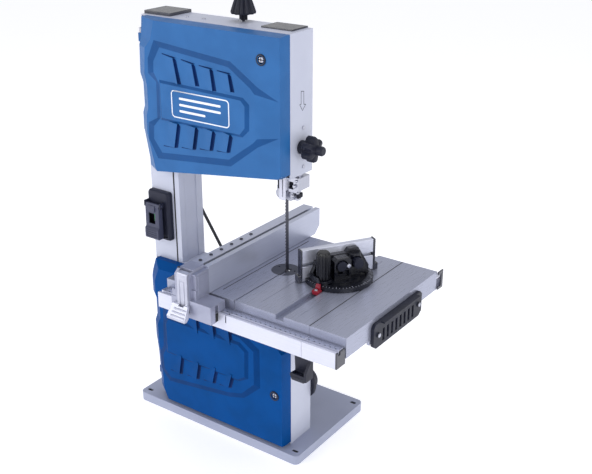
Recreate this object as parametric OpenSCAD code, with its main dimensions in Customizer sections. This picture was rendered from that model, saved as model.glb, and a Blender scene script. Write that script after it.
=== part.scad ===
// Bench band saw with a folded steel frame, two hinged doors, a tilting table
// with a slide-out extension, a rip fence and a mitre gauge.
// Origin: centre of the base plate, on the surface it stands on.
// +X to the right, -Y towards the user, +Z up, millimetres.

/* [Base] */
// Width of the base plate
base_w = 394; // [380:1:480]
// Depth of the base plate
base_d = 231; // [215:1:290]
// Height of the folded base plate
base_t = 19; // [15:1:25]
// Distance between bolt slots along X
bolt_pitch_x = 366; // [340:1:372]
// Distance between bolt slots along Y
bolt_pitch_y = 200; // [180:1:208]

/* [Frame] */
// Depth of the folded boxes
box_d = 63.3; // [60:0.1:80]
// Thickness of the sheet steel
sheet_t = 2; // [1.5:0.1:3]
// Width of the column
column_w = 68.4; // [60:0.1:90]
// Height of the box below the column
lower_box_top = 325.5; // [300:0.5:335]
// Depth of the doors
door_d = 25.5; // [20:0.5:35]
// Thickness of the door skins
door_t = 2.4; // [1.8:0.1:3]

/* [Wheels and blade] */
// Outer diameter of the wheels with their tyres
wheel_d = 220; // [180:1:224]
// Width of the wheels
wheel_w = 16; // [12:1:18]
// Distance between the wheel centres
wheel_spacing = 514; // [500:1:620]
// Height of the lower wheel's centre above the floor
lower_wheel_z = 150; // [135:1:152]
// Width of the blade
blade_w = 10; // [6:0.5:10]
// Thickness of the blade
blade_t = 0.6; // [0.4:0.05:0.8]
// Diameter of the wheel axle
axle_d = 15; // [12:0.5:20]

/* [Table] */
// Width of the main table
table_w = 304; // [280:1:365]
// Depth of the table
table_d = 300; // [250:1:360]
// Depth of the table's rim
table_rim = 36; // [30:0.5:40]
// Width of the table extension
extension_w = 70; // [50:1:90]
// Width of the mitre slot
slot_w = 16; // [13:0.5:19.5]
// Distance from the blade to the middle of the mitre slot
slot_off = 93.4; // [80:0.1:112]

/* [Fence and gauge] */
// Height of the rip fence
fence_h = 49.5; // [40:0.5:70]
// Width of the rip fence
fence_w = 38; // [30:0.5:45]
// Distance from the blade to the fence's face
fence_off = 52; // [52:0.5:80]
// Height of the mitre gauge's fence
gauge_h = 58; // [40:0.5:65]
// Length of the mitre gauge's fence
gauge_l = 137; // [110:1:160]
// Angle of the mitre gauge's fence to the X axis
gauge_angle = 58; // [50:1:62]
// Radius of the mitre gauge's disc
gauge_r = 61; // [50:0.5:64]

/* [Blade guide] */
// Outer diameter of the guide bearings
bearing_d = 19; // [16:0.5:22]
// Diameter of the round guide post
post_d = 15; // [12:0.5:15]

/* [Motor] */
// Diameter of the motor housing
motor_d = 122; // [100:1:140]
// Length of the motor housing
motor_l = 112; // [90:1:130]
// Inner radius of the dust port
dust_r = 20; // [15:0.5:24]
// Diameter of the motor lead
lead_d = 6; // [5:0.5:8]

/* [Hidden] */
$fn = 64;

skin_gap = 0.3;      // between curved or soft faces that nearly touch
run_gap = 0.05;      // radial clearance of a turning or sliding fit

// Blade and wheels
wheel_r = wheel_d / 2;
blade_x = 127;
blade_y = -47;
loop_r = wheel_r + skin_gap;
wheel_x = blade_x - loop_r - blade_t / 2;
return_x = wheel_x - loop_r - blade_t / 2;
upper_wheel_z = lower_wheel_z + wheel_spacing;
wheel_front = blade_y - wheel_w / 2;
wheel_back = blade_y + wheel_w / 2;

// Frame
box_front = blade_y - 39.4;
box_back = box_front + box_d;
box_right = max(163.3, wheel_x + wheel_r + 36);
column_left = -156.4;
column_right = column_left + column_w;
box_left = column_left;
upper_low = upper_wheel_z - 120;
upper_top = upper_wheel_z + wheel_r + 10.6;
step_x = -40;
step_top = 262;
corner_cut = 40;

// Doors
door_back = box_front - 0.4;
door_front = door_back - door_d;
door_top_z = upper_top - 0.6;
door_low_left = upper_low - 38;
door_low_right = upper_low + 9;
hinge_x = box_left - 5;
hinge_y = box_front + 2;
lock_up = [125.1, 744];
lock_low = [145, 130.7];

// Table
table_top = 354.2;
table_left = blade_x - table_w / 2;
table_right = table_left + table_w;
table_front = blade_y - table_d / 2;
table_back = table_front + table_d;
skin_t = 7;
rim_t = 5;
rim_low = table_top - table_rim;
slot_x = blade_x + slot_off;
slot_depth = 8.5;
ext_right = table_right + extension_w;
rod_r = 7;
rod_z = table_top - skin_t - 5 - rod_r;
rod_ys = [blade_y - 73, blade_y + 77];
insert_r = 26;
insert_x = blade_x - 3;

// Rail
rail_d = 25;
rail_h = 28.6;
rail_top = table_top - 16.6;
rail_low = rail_top - rail_h;
rail_front = table_front - rail_d;
rail_end = ext_right - 4;

// Tilt
tilt_z = table_top;
seg_hole_r = 62;
seg_out = 72;
seg_t = 5.6;
bolt_r = 3;
bolt_a = -115;
seg_ys = [blade_y - 26.7, blade_y + 9.1];

// Fence
fence_right = blade_x - fence_off;
fence_left = fence_right - fence_w;
fence_low = table_top + 0.6;
fence_front = table_front - 3;
fence_back = table_back + 30;
head_left = fence_left - 11;
head_right = fence_right + 37;
head_front = rail_front - 19;
lever_z = fence_low + fence_h - 6;
head_screw_y = [fence_front + 12, fence_front + 40];

// Gauge
gauge_y = -22;
disc_low = table_top + 0.4;
disc_t = 8;
gauge_low = table_top + 1.8;

// Guide
guide_z = 500;
post_x = blade_x + 16;
post_y = blade_y + 21 - post_d / 2;
pinion_z = 593.2;
knob_y = blade_y - 9.2;
pinion_r = 6.5;
rack_front = knob_y + pinion_r + 0.3;

// Lead from the column to the motor's terminal box
LEAD = [[-124, -15, 437], [-124, -10, 437], [-119, -7.5, 429], [-112, -7, 418],
    [-102, -7, 402.5], [-92, -7, 387.5], [-82, -7, 372.5], [-72, -7, 357.5],
    [-62, -7, 342.5], [-54, -6, 329.5], [-46, -3, 316], [-38, 2, 302], [-30, 8, 288],
    [-23, 14, 274], [-18, 19, 262], [-17, 20, 256], [-17, 20, 251]];
lead_in = LEAD[0];
lead_out = LEAD[len(LEAD) - 1];

// ---------------------------------------------------------------- helpers

// Upright block with rounded corners, drawn from its low corner
module round_block(size, r) {
    translate([r, 0, 0]) cube([size[0] - 2 * r, size[1], size[2]]);
    translate([0, r, 0]) cube([size[0], size[1] - 2 * r, size[2]]);
    for (x = [r, size[0] - r], y = [r, size[1] - r])
        translate([x, y, 0]) cylinder(r = r, h = size[2]);
}

// Outline in X and Z, swept along Y from y0 to y1
module slab_xz(points, y0, y1) {
    translate([0, y1, 0]) rotate([90, 0, 0]) linear_extrude(y1 - y0) polygon(points);
}

// Outline in Y and Z, swept along X from x0 to x1
module slab_yz(points, x0, x1) {
    translate([x0, 0, 0]) rotate([90, 0, 90]) linear_extrude(x1 - x0) polygon(points);
}

module rod_x(x0, x1, y, z, r) {
    translate([x0, y, z]) rotate([0, 90, 0]) cylinder(r = r, h = x1 - x0);
}

module rod_y(y0, y1, x, z, r) {
    translate([x, y1, z]) rotate([90, 0, 0]) cylinder(r = r, h = y1 - y0);
}

module rod_z(z0, z1, x, y, r) {
    translate([x, y, z0]) cylinder(r = r, h = z1 - z0);
}

// Box between two corners
module span(a, b) {
    translate(a) cube(b - a);
}

// Star grip about +Z: a round core with lobes round its rim
module star_grip(r, h, lobes) {
    cylinder(r = r * 0.78, h = h);
    for (i = [0 : lobes - 1])
        rotate(i * 360 / lobes) translate([r * 0.72, 0, 0]) cylinder(r = r * 0.28, h = h, $fn = 24);
}

// ------------------------------------------------------------------ frame

module base_plate() color("#D5D6E4") difference() {
    translate([-base_w / 2, -base_d / 2, 0]) round_block([base_w, base_d, base_t], 10);
    translate([-base_w / 2 + 3, -base_d / 2 + 3, -1])
        round_block([base_w - 6, base_d - 6, base_t - sheet_t + 1], 7);
    for (x = [-1, 1], y = [-1, 1]) translate([x * bolt_pitch_x / 2, y * bolt_pitch_y / 2, 0]) {
        for (s = [-3, 3]) rod_z(base_t - sheet_t - 2, base_t + 1, s, 0, 3.5);
        span([-3, -3.5, base_t - sheet_t - 2], [3, 3.5, base_t + 1]);
    }
    for (x = [-120, 120], y = [box_front + 16, box_back - 16])
        rod_z(base_t - sheet_t - 2, base_t + 1, x, y, 3.1);
}

// Outline of the lower box, with a low right part so that the table can tilt
function lower_outline(g) = [[box_left + g, base_t + g], [box_right - g, base_t + g],
    [box_right - g, step_top - corner_cut - g * 0.4],
    [box_right - corner_cut - g * 0.4, step_top - g], [step_x - g, step_top - g],
    [step_x - g, lower_box_top - g], [box_left + g, lower_box_top - g]];

module lower_box() color("#CDCEDF") difference() {
    slab_xz(lower_outline(0), box_front, box_back);
    slab_xz(lower_outline(sheet_t), box_front - 1, box_back - sheet_t);
    rod_y(box_back - 5, box_back + 1, wheel_x, lower_wheel_z, 24);
    rod_y(box_back - 5, box_back + 1, dust_x, dust_z, dust_r);
    span([return_x - 5, blade_y - 9, lower_box_top - 5], [return_x + 3, blade_y + 9, lower_box_top + 1]);
    span([blade_x - 5, blade_y - 9, step_top - 30], [blade_x + 5, blade_y + 9, step_top + 5]);
    for (x = [-120, 120], y = [box_front + 16, box_back - 16])
        rod_z(base_t - 1, base_t + sheet_t + 1, x, y, 3.1);
    for (x = tilt_feet, y = [blade_y - 33, blade_y + 17])
        rod_z(step_top - sheet_t - 1, step_top + 1, x, y, 2.6);
    for (a = [45 : 90 : 315])
        rod_y(box_back - 5, box_back + 1, wheel_x + 44 * cos(a), lower_wheel_z + 44 * sin(a), 2.6);
}

module column() color("#CFD0E0") {
    z0 = lower_box_top;
    z1 = upper_low;
    t = sheet_t;
    span([column_left, box_front, z0], [column_left + t, box_back, z1]);
    span([column_left, box_front, z0], [column_right - 13, box_front + t, z1]);
    span([column_left, box_back - t, z0], [column_right, box_back, z1]);
    span([column_right - 11.5, box_front, z0], [column_right, box_front + t, z1]);
    span([column_right - t, box_front, z0], [column_right, box_front + 14, z1]);
    span([column_right - t - 1.5, box_front + 12, z0], [column_right - 1.5, blade_y + 9, z1]);
    span([column_right - t, blade_y + 7, z0], [column_right, box_back, z1]);
}

module upper_box() color("#D3D4E3") difference() {
    span([box_left, box_front, upper_low], [box_right, box_back, upper_top]);
    span([box_left + sheet_t, box_front - 1, upper_low + sheet_t],
        [box_right - sheet_t, box_back - sheet_t, upper_top - sheet_t]);
    rod_z(upper_top - 5, upper_top + 1, knob_x, tension_y, screw_r + run_gap);
    rod_x(box_right - 5, box_right + 1, knob_y, pinion_z, 7);
    span([return_x - 5, blade_y - 9, upper_low - 1], [return_x + 3, blade_y + 9, upper_low + 5]);
    span([blade_x - 25, box_front + 8, upper_low - 1], [box_right - 6, box_back - sheet_t, upper_low + 5]);
    for (z = [557, 625]) rod_x(box_right - 5, box_right + 1, screw_y, z, 2.1);
    for (x = [-71.9, -34.3]) rod_z(upper_top - 5, upper_top + 1, x, -62, 2.1);
    span([box_right - 1, box_front - 1, lock_up[1] - 9], [box_right + 1, box_front - 0.5, lock_up[1] + 9]);
}

knob_x = wheel_x + 16;
screw_r = 2.5;
bridge_front = blade_y + blade_w / 2 + 0.4;
tension_y = bridge_front + screw_r + 1.1;
screw_y = -49.2;
dust_z = 112;
dust_x = box_right - sheet_t - dust_r - 1.8;
dust_l = 26;
tilt_feet = [72, 108];

module column_cap() color("#35363F") {
    span([column_left - 1.6, box_front + 9.4, upper_top], [column_right - 9, box_back + 2, upper_top + 5.5]);
    span([column_left - 1.6, box_front + 9.4, upper_top - 8], [column_left, box_back + 2, upper_top]);
    span([column_left, box_back, upper_top - 8], [column_right - 9, box_back + 2, upper_top]);
}

module corner_cap() color("#3A3B46") {
    span([box_right - 73, box_front + 20.7, upper_top], [box_right - 10.6, box_back + 1.6, upper_top + 2.5]);
    span([box_right - 73, box_back, upper_top - 5], [box_right - 10.6, box_back + 1.6, upper_top + 2.5]);
}

module frame_screws() color("#A9AAB6") {
    for (z = [557, 625]) {
        rod_x(box_right, box_right + 1.6, screw_y, z, 3.4);
        rod_x(box_right - 5, box_right, screw_y, z, 2);
    }
    for (x = [-71.9, -34.3]) {
        rod_z(upper_top, upper_top + 1.6, x, -62, 3.4);
        rod_z(upper_top - 5, upper_top, x, -62, 2);
    }
    for (x = [-120, 120], y = [box_front + 16, box_back - 16]) {
        rod_z(base_t + sheet_t, base_t + sheet_t + 4, x, y, 5);
        rod_z(base_t - sheet_t - 1.5, base_t + sheet_t, x, y, 3);
        rod_z(base_t - sheet_t - 6, base_t - sheet_t, x, y, 5);
    }
}

HINGES = [lower_wheel_z - 80, lower_wheel_z + 110, upper_wheel_z - 80, upper_wheel_z + wheel_r - 30];

// Each hinge: a leaf on the box, two knuckles and the pin between them
module hinge_leaves() color("#8F909C") for (h = HINGES) translate([0, 0, h]) {
    span([box_left - 1.6, hinge_y, -16], [box_left, hinge_y + 22, 16]);
    for (z = [-16, 8]) difference() {
        union() {
            rod_z(z, z + 8, hinge_x, hinge_y, 3.4);
            span([hinge_x, hinge_y, z], [box_left, hinge_y + 1.6, z + 8]);
        }
        rod_z(z - 1, z + 9, hinge_x, hinge_y, 1.8);
    }
    rod_z(-17, 17, hinge_x, hinge_y, 1.8);
}

// A bent tab behind each door lock, slotted so that the turned tongue comes out
module latch_brackets() color("#BFC0CC") for (p = [lock_up, lock_low]) difference() {
    union() {
        span([p[0] - 9, box_front + 1, p[1] - 9], [box_right - sheet_t, box_front + 3, p[1] + 9]);
        span([box_right - sheet_t - 2, box_front + 1, p[1] - 9],
            [box_right - sheet_t, box_front + 16, p[1] + 9]);
    }
    rod_y(box_front - 1, box_front + 5, p[0], p[1], 4.2);
    span([p[0] - 4.2, box_front - 1, p[1] - 10], [p[0] + 4.2, box_front + 5, p[1]]);
}

// ------------------------------------------------------------------ doors

function upper_door_outline(g) = [[-128 + g, door_low_left + g + 4],
    [box_right - 8 - g, door_low_right - 6 + g],
    [box_right - g, door_low_right + g], [box_right - g, door_top_z - g],
    [-144 + g, door_top_z - g], [-148 + g, 748], [-153 + g, 734], [-155 + g, 684],
    [-149 + g, 668], [-149 + g, 626], [-154 + g, 612], [-154 + g, 584], [-143 + g, door_low_left + 18],
    [-143 + g, door_low_left + 9 + g]];

function lower_door_outline(g) = [[-140 + g, base_t + 5 + g], [box_right - g, base_t + 5 + g],
    [box_right - g, step_top - corner_cut - 1 - g], [box_right - corner_cut - g * 0.4, step_top - 1 - g],
    [step_x + 2 - g, step_top - 1 - g], [step_x + 2 - g, lower_box_top - g],
    [-146 + g, lower_box_top - g], [-155 + g, 300], [-158 + g, 286], [-158 + g, 254],
    [-151 + g, 240], [-151 + g, 206], [-157 + g, 190], [-157 + g, 158], [-153 + g, 122],
    [-150 + g, 44]];

// Hollow door: skin with a bevelled left edge, open towards the box
module door_shell(outer, inner, bevel) difference() {
    intersection() {
        slab_xz(outer, door_front, door_back);
        linear_extrude(1000) polygon([[-190, door_back + 1], [-190, door_front + bevel],
            [-158, door_front + bevel], [-158 + bevel, door_front], [box_right + 5, door_front],
            [box_right + 5, door_back + 1]]);
    }
    intersection() {
        slab_xz(inner, door_front + door_t, door_back + 1);
        linear_extrude(1000) polygon([[-190, door_back + 2], [-190, door_front + bevel + door_t],
            [-158 + door_t, door_front + bevel + door_t], [-158 + bevel + door_t, door_front + door_t],
            [box_right + 5, door_front + door_t], [box_right + 5, door_back + 2]]);
    }
}

// Slanted vent openings in two rows about a height
module door_vents(cx, cz, lean) {
    for (row = [-1, 1], i = [-1.5 : 1 : 1.5])
        translate([cx + i * 44 + row * 1.5, 0, cz + row * 44])
            rotate([0, -row * lean, 0])
                span([-2.2, door_front - 1, -16], [2.2, door_front + door_t + 1, 16]);
}

// Barrel and strap that carry a door on its hinge pin
module door_knuckles(zs) for (z = zs) difference() {
    union() {
        rod_z(z - 7.6, z + 7.6, hinge_x, hinge_y, 3.4);
        span([hinge_x - 3.4, door_back - 1.6, z - 7.6], [hinge_x + 1, hinge_y, z + 7.6]);
        span([hinge_x - 3.4, door_back - 1.6, z - 7.6], [-146, door_back, z + 7.6]);
    }
    rod_z(z - 9, z + 9, hinge_x, hinge_y, 1.8 + run_gap);
}

module lock_boss(p) difference() {
    rod_y(door_front + 1, door_back - 1, p[0], p[1], 8);
    rod_y(door_front - 1, door_back + 1, p[0], p[1], 4 + run_gap);
    rod_y(door_front - 1, door_front + 4, p[0], p[1], 6.3);
}

module upper_door() color("#3F76BA") {
    difference() {
        door_shell(upper_door_outline(0), upper_door_outline(door_t), 14);
        door_vents(-5.5, 645.6, 12);
        rod_y(door_front - 1, door_back + 1, lock_up[0], lock_up[1], 6.3);
    }
    lock_boss(lock_up);
    door_knuckles([HINGES[2], HINGES[3]]);
}

module lower_door() color("#0A5AAA") {
    difference() {
        door_shell(lower_door_outline(0), lower_door_outline(door_t), 10);
        door_vents(-31, 176.7, 12);
        rod_y(door_front - 1, door_back + 1, lock_low[0], lock_low[1], 6.3);
    }
    lock_boss(lock_low);
    door_knuckles([HINGES[0], HINGES[1]]);
}

// Quarter-turn lock: slotted head, shank and a tongue behind the bracket
module door_lock(p) difference() {
    union() {
        rod_y(door_front + 0.4, door_front + 3.9, p[0], p[1], 6);
        rod_y(door_front + 3.9, box_front + 6, p[0], p[1], 4);
        rod_y(door_front + 4.2, box_front + 0.7, p[0], p[1], 4);
        span([p[0] - 3, box_front + 3.3, p[1] - 3.2], [p[0] + 13.5, box_front + 5.5, p[1] + 3.2]);
    }
    span([p[0] - 0.8, door_front - 1, p[1] - 5], [p[0] + 0.8, door_front + 1.8, p[1] + 5]);
}

module upper_door_lock() color("#D9DAE2") door_lock(lock_up);
module lower_door_lock() color("#D9DAE2") door_lock(lock_low);

// ----------------------------------------------------------------- wheels

hub_r = 22;
tyre_t = 3;

// Cast wheel with spokes; its hub turns on the axle
module wheel_body() rotate([90, 0, 0]) translate([0, 0, -wheel_w / 2]) {
    difference() {
        cylinder(r = wheel_r - tyre_t, h = wheel_w, $fn = 96);
        translate([0, 0, -1]) cylinder(r = wheel_r - tyre_t - 9, h = wheel_w + 2, $fn = 96);
    }
    difference() {
        union() {
            cylinder(r = hub_r, h = wheel_w);
            for (i = [0 : 5]) rotate(i * 60) translate([hub_r - 4, -6, wheel_w / 2 - 4])
                cube([wheel_r - tyre_t - hub_r - 2, 12, 8]);
        }
        translate([0, 0, -1]) cylinder(r = axle_d / 2 + run_gap, h = wheel_w + 2);
    }
}

module tyre_body() rotate([90, 0, 0]) translate([0, 0, -wheel_w / 2]) difference() {
    cylinder(r = wheel_r, h = wheel_w, $fn = 96);
    translate([0, 0, -1]) cylinder(r = wheel_r - tyre_t, h = wheel_w + 2, $fn = 96);
}

module upper_wheel() color("#9C9DA8") translate([wheel_x, blade_y, upper_wheel_z]) wheel_body();
module upper_tyre() color("#2B2B2E") translate([wheel_x, blade_y, upper_wheel_z]) tyre_body();
module lower_wheel() color("#9C9DA8") translate([wheel_x, blade_y, lower_wheel_z]) wheel_body();
module lower_tyre() color("#2B2B2E") translate([wheel_x, blade_y, lower_wheel_z]) tyre_body();

bridge_low = upper_wheel_z + wheel_r + 2;
carriage_front = wheel_back + 1.5;
carriage_back = box_back - sheet_t - 0.1;

// Sliding block: plate behind the wheel, axle, and the bridge above the wheel
module wheel_carriage() color("#7E7F8B") {
    span([wheel_x - 22, carriage_front, upper_wheel_z - 40],
        [wheel_x + 26, carriage_back, upper_wheel_z + wheel_r + 2]);
    difference() {
        span([knob_x - 11, bridge_front, bridge_low],
            [knob_x + 11, carriage_back, bridge_low + 4.6]);
        rod_z(bridge_low - 1, bridge_low + 6, knob_x, tension_y, screw_r + run_gap);
    }
    rod_y(wheel_front - 1.5, carriage_front + 1, wheel_x, upper_wheel_z, axle_d / 2);
    rod_y(wheel_front - 4.5, wheel_front - 0.5, wheel_x, upper_wheel_z, axle_d / 2 + 4);
    rod_y(wheel_back + 0.5, carriage_front + 1, wheel_x, upper_wheel_z, axle_d / 2 + 4);
}

spring_low = upper_top + 2.2;
spring_wire = 1.2;

// Spring under the knob, as a stack of rings on a slim sleeve
module tension_spring() color("#B9BAC4") {
    translate([knob_x, tension_y, spring_low]) difference() {
        cylinder(r = 6.4, h = 11.5);
        translate([0, 0, -1]) cylinder(r = 5.2, h = 14);
    }
    for (i = [0 : 4]) translate([knob_x, tension_y, spring_low + 1.3 + i * 2.2])
        rotate_extrude() translate([6.6, 0]) circle(r = spring_wire / 2, $fn = 16);
}

knob_low = spring_low + 12;

// Screw with its knob; the screw pulls the carriage's bridge up
module tension_knob() color("#33343D") translate([knob_x, tension_y, 0]) {
    rod_z(bridge_low + 0.2, knob_low + 2, 0, 0, screw_r);
    rod_z(knob_low, knob_low + 8, 0, 0, 10.5);
    translate([0, 0, knob_low + 6]) cylinder(r1 = 15, r2 = 10, h = 20);
    for (i = [0 : 7]) rotate(i * 45) span([0, -1.6, knob_low + 6], [19.5, 1.6, knob_low + 24]);
    rod_z(upper_top + 0.3, upper_top + 1.9, 0, 0, 6.4);
}

shaft_back = box_back + 8 + motor_l + 18;

// Motor shaft, which carries the lower wheel and the cooling fan
module motor_shaft() color("#B4B5C0") {
    rod_y(wheel_front - 1.5, shaft_back, wheel_x, lower_wheel_z, axle_d / 2);
    rod_y(wheel_front - 4, wheel_front - 0.1, wheel_x, lower_wheel_z, axle_d / 2 + 5);
    rod_y(wheel_back + 0.1, wheel_back + 5, wheel_x, lower_wheel_z, axle_d / 2 + 4);
    translate([wheel_x, shaft_back - 6, lower_wheel_z]) rotate([90, 0, 0]) {
        cylinder(r = 16, h = 8);
        for (i = [0 : 6]) rotate(i * 360 / 7) translate([14, -1.2, 0]) cube([30, 2.4, 8]);
    }
}

motor_front = box_back + 0.1;
motor_back = motor_front + 8 + motor_l;

module motor_housing() color("#4A4B55") translate([wheel_x, 0, lower_wheel_z]) difference() {
    union() {
        rod_y(motor_front, motor_front + 8, 0, 0, 56);
        rod_y(motor_front + 7, motor_back, 0, 0, motor_d / 2 - 4);
        for (i = [0 : 23]) rotate([0, i * 15, 0])
            span([motor_d / 2 - 6, motor_front + 14, -1.2], [motor_d / 2, motor_back - 6, 1.2]);
    }
    rod_y(motor_front - 1, motor_back + 1, 0, 0, axle_d / 2 + run_gap);
    for (a = [45 : 90 : 315]) rod_y(motor_front - 1, motor_front + 9, 44 * cos(a), 44 * sin(a), 2.6);
    rod_y(motor_front + 14, motor_back - 10, 0, 0, motor_d / 2 - 16);
}

module motor_fan_cover() color("#2F3038") translate([wheel_x, 0, lower_wheel_z]) difference() {
    rod_y(motor_back, shaft_back + 6, 0, 0, motor_d / 2 - 1);
    rod_y(motor_back - 1, shaft_back + 3.5, 0, 0, motor_d / 2 - 4);
    for (i = [0 : 11]) rotate([0, i * 30, 0])
        span([18, shaft_back, -2.2], [motor_d / 2 - 12, shaft_back + 8, 2.2]);
}

box_z = lower_wheel_z + motor_d / 2 - 8;
term = [wheel_x - 42, motor_front + 22, box_z];

module terminal_box() color("#30313A") difference() {
    translate(term) round_block([62, 56, 36], 5);

           translate([wheel_x, 0, lower_wheel_z]) rod_y(motor_front - 1, motor_back + 1, 0, 0, motor_d / 2 + skin_gap);
}

// Tube that follows a list of points, as one polyhedron of rings
function unit(v) = v / norm(v);
function heading(path, i) = unit(path[min(i + 1, len(path) - 1)] - path[max(i - 1, 0)]);
function side(t) = unit(cross(t, [0, 1, 0.02]));
function ring(p, t, r, n) = let (a = side(t), b = cross(t, a))
    [for (k = [0 : n - 1]) p + r * cos(k * 360 / n) * a + r * sin(k * 360 / n) * b];

module tube_along(path, r, n) {
    count = len(path);
    points = [for (i = [0 : count - 1]) each ring(path[i], heading(path, i), r, n)];
    walls = [for (i = [0 : count - 2], k = [0 : n - 1])
        [i * n + k, i * n + (k + 1) % n, (i + 1) * n + (k + 1) % n, (i + 1) * n + k]];
    ends = [[for (k = [n - 1 : -1 : 0]) k], [for (k = [0 : n - 1]) (count - 1) * n + k]];
    polyhedron(points = points, faces = concat(walls, ends), convexity = 6);
}

module motor_lead() color("#232429") tube_along(LEAD, lead_d / 2, 10);

// Rubber glands: the lead's two ends, and the mains lead's outlet low on the column
module cable_glands() color("#1F2026") {
    rod_y(box_back, box_back + 3, lead_in[0], lead_in[2], 8);
    rod_y(box_back, lead_in[1], lead_in[0], lead_in[2], 5);
    rod_z(term[2] + 36, term[2] + 39, lead_out[0], lead_out[1], 8);
    rod_z(term[2] + 36, lead_out[2], lead_out[0], lead_out[1], 5);
    rod_y(box_back, box_back + 3, column_left + 30, 350, 9);
    rod_y(box_back, box_back + 12, column_left + 30, 350, 5.5);
}

// Flanged spigot for an extraction hose, on the back of the lower box
module dust_port() color("#2B2C34") difference() {
    union() {
        rod_y(box_back, box_back + dust_l, dust_x, dust_z, dust_r + 3);
        rod_y(box_back, box_back + 8, dust_x, dust_z, dust_r + 12);
    }
    rod_y(box_back - 1, box_back + dust_l + 1, dust_x, dust_z, dust_r);
}

// ------------------------------------------------------------------ blade

tooth_pitch = 6;

module straight_teeth(x) {
    n = floor((wheel_spacing - 4) / tooth_pitch);
    slab_yz(concat([[blade_y + 1, lower_wheel_z], [blade_y + 1, lower_wheel_z + wheel_spacing]],
        [for (i = [n - 1 : -1 : 0]) each let (z = lower_wheel_z + 2 + i * tooth_pitch)
            [[blade_y - blade_w / 2 + 2.4, z + tooth_pitch - 0.6], [blade_y - blade_w / 2, z]]]),
        x - blade_t / 2, x + blade_t / 2);
}

// Endless blade: half loops over both wheels and two straight runs
module blade() color("#50505A") {
    back = blade_y + blade_w / 2;
    front = blade_y - blade_w / 2 + 2.4;
    for (side_z = [0, 1]) translate([wheel_x, back, side_z == 0 ? lower_wheel_z : upper_wheel_z])
        rotate([90, 0, 0]) intersection() {
            difference() {
                cylinder(r = loop_r + blade_t, h = back - front, $fn = 96);
                translate([0, 0, -1]) cylinder(r = loop_r, h = blade_w + 2, $fn = 96);
            }
            translate([-200, side_z == 0 ? -400 : 0, -1]) cube([400, 400, blade_w + 2]);
        }
    span([return_x - blade_t / 2, front, lower_wheel_z], [return_x + blade_t / 2, back, upper_wheel_z]);
    span([blade_x - blade_t / 2, front, lower_wheel_z], [blade_x + blade_t / 2, back, upper_wheel_z]);
    straight_teeth(blade_x);
}

// ------------------------------------------------------------ blade guide

roller_r = bearing_d / 2;
roller_w = 6;
roller_x = [blade_x - blade_t / 2 - 0.3 - roller_r, blade_x + blade_t / 2 + 0.3 + roller_r];

// Round post with a rack on its front
module guide_post() color("#C2C3CE") {
    rod_z(arm_low + 12, guide_z + 196, post_x, post_y, post_d / 2);
    span([post_x - 3, rack_front + 2, arm_low + 24], [post_x + 3, post_y, guide_z + 194]);
    for (i = [0 : 38]) span([post_x - 3, rack_front, guide_z + 40 + i * 4],
        [post_x + 3, rack_front + 2.5, guide_z + 42 + i * 4]);
}

arm_low = guide_z + 14;
block_front = blade_y + 5.6;

// Silver block on the post, with an arm for each side bearing's pin
module guide_bracket() color("#C9CAD6") {
    difference() {
        span([blade_x + 4, block_front, arm_low], [blade_x + 27, blade_y + 30, arm_low + 22]);
        rod_z(arm_low + 12, arm_low + 30, post_x, post_y, post_d / 2);
        span([blade_x + 14, blade_y + 4, arm_low + 4], [blade_x + 30, blade_y + 14, arm_low + 10]);
    }
    span([blade_x - 24, block_front, guide_z - 8], [blade_x + 27, blade_y + 11, arm_low + 12]);
    for (x = roller_x) {
        rod_y(blade_y - 7.5, blade_y + 7, x, guide_z, 3);
        rod_y(blade_y + 4, blade_y + 6, x, guide_z, 4.6);
        rod_y(blade_y - 8.5, blade_y - 6.2, x, guide_z, 4);
    }
    rod_x(blade_x + 26, blade_x + 31, blade_y + 24, guide_z + 30, 3.4);
    rod_x(blade_x + 20, blade_x + 31, blade_y + 24, arm_low + 10, 4);
    rod_y(blade_y + 11, blade_y + 20, roller_x[1], guide_z, 7);
    rod_y(blade_y + 11, blade_y + 17, roller_x[0], guide_z, 5);
}

// Two ball bearings beside the blade
module guide_rollers() color("#B8B9C4") for (x = roller_x)
    translate([x, blade_y - 6 + roller_w, guide_z]) rotate([90, 0, 0]) difference() {
        cylinder(r = roller_r, h = roller_w);
        translate([0, 0, -1]) cylinder(r = 3 + run_gap, h = roller_w + 2);
        for (z = [-1, roller_w - 0.8]) translate([0, 0, z]) difference() {
            cylinder(r = roller_r - 2, h = 1.8);
            translate([0, 0, -1]) cylinder(r = 5, h = 4);
        }
    }

guard_low = guide_z - 8;
guard_high = guide_z + 128;
guard_front = blade_y - 15;

// Folded guard in front of the blade, with its side flange against the bracket
module blade_guard() color("#D9DAE6") {
    span([blade_x - 10, guard_front, guard_low], [blade_x + 7, guard_front + 1.5, guard_high]);
    span([blade_x + 5.5, guard_front, arm_low + 10], [blade_x + 7, block_front, guard_high]);
    span([blade_x - 10, guard_front, guard_low], [blade_x - 8.5, guard_front + 4, guard_high]);
    span([blade_x + 5.5, guard_front, guard_low], [blade_x + 7, guard_front + 5, guard_high]);
}

// Knob outside the box, shaft and pinion that lift the guide post
module guide_knob() color("#30313B") {
    translate([box_right + 12, knob_y, pinion_z]) rotate([0, 90, 0]) star_grip(22.5, 20, 6);
    rod_x(box_right + 0.3, box_right + 13, knob_y, pinion_z, 12);
    rod_x(post_x - 5, box_right + 1, knob_y, pinion_z, pinion_r);
    rod_x(box_right + 31, box_right + 46, knob_y, pinion_z, 8);
}

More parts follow.
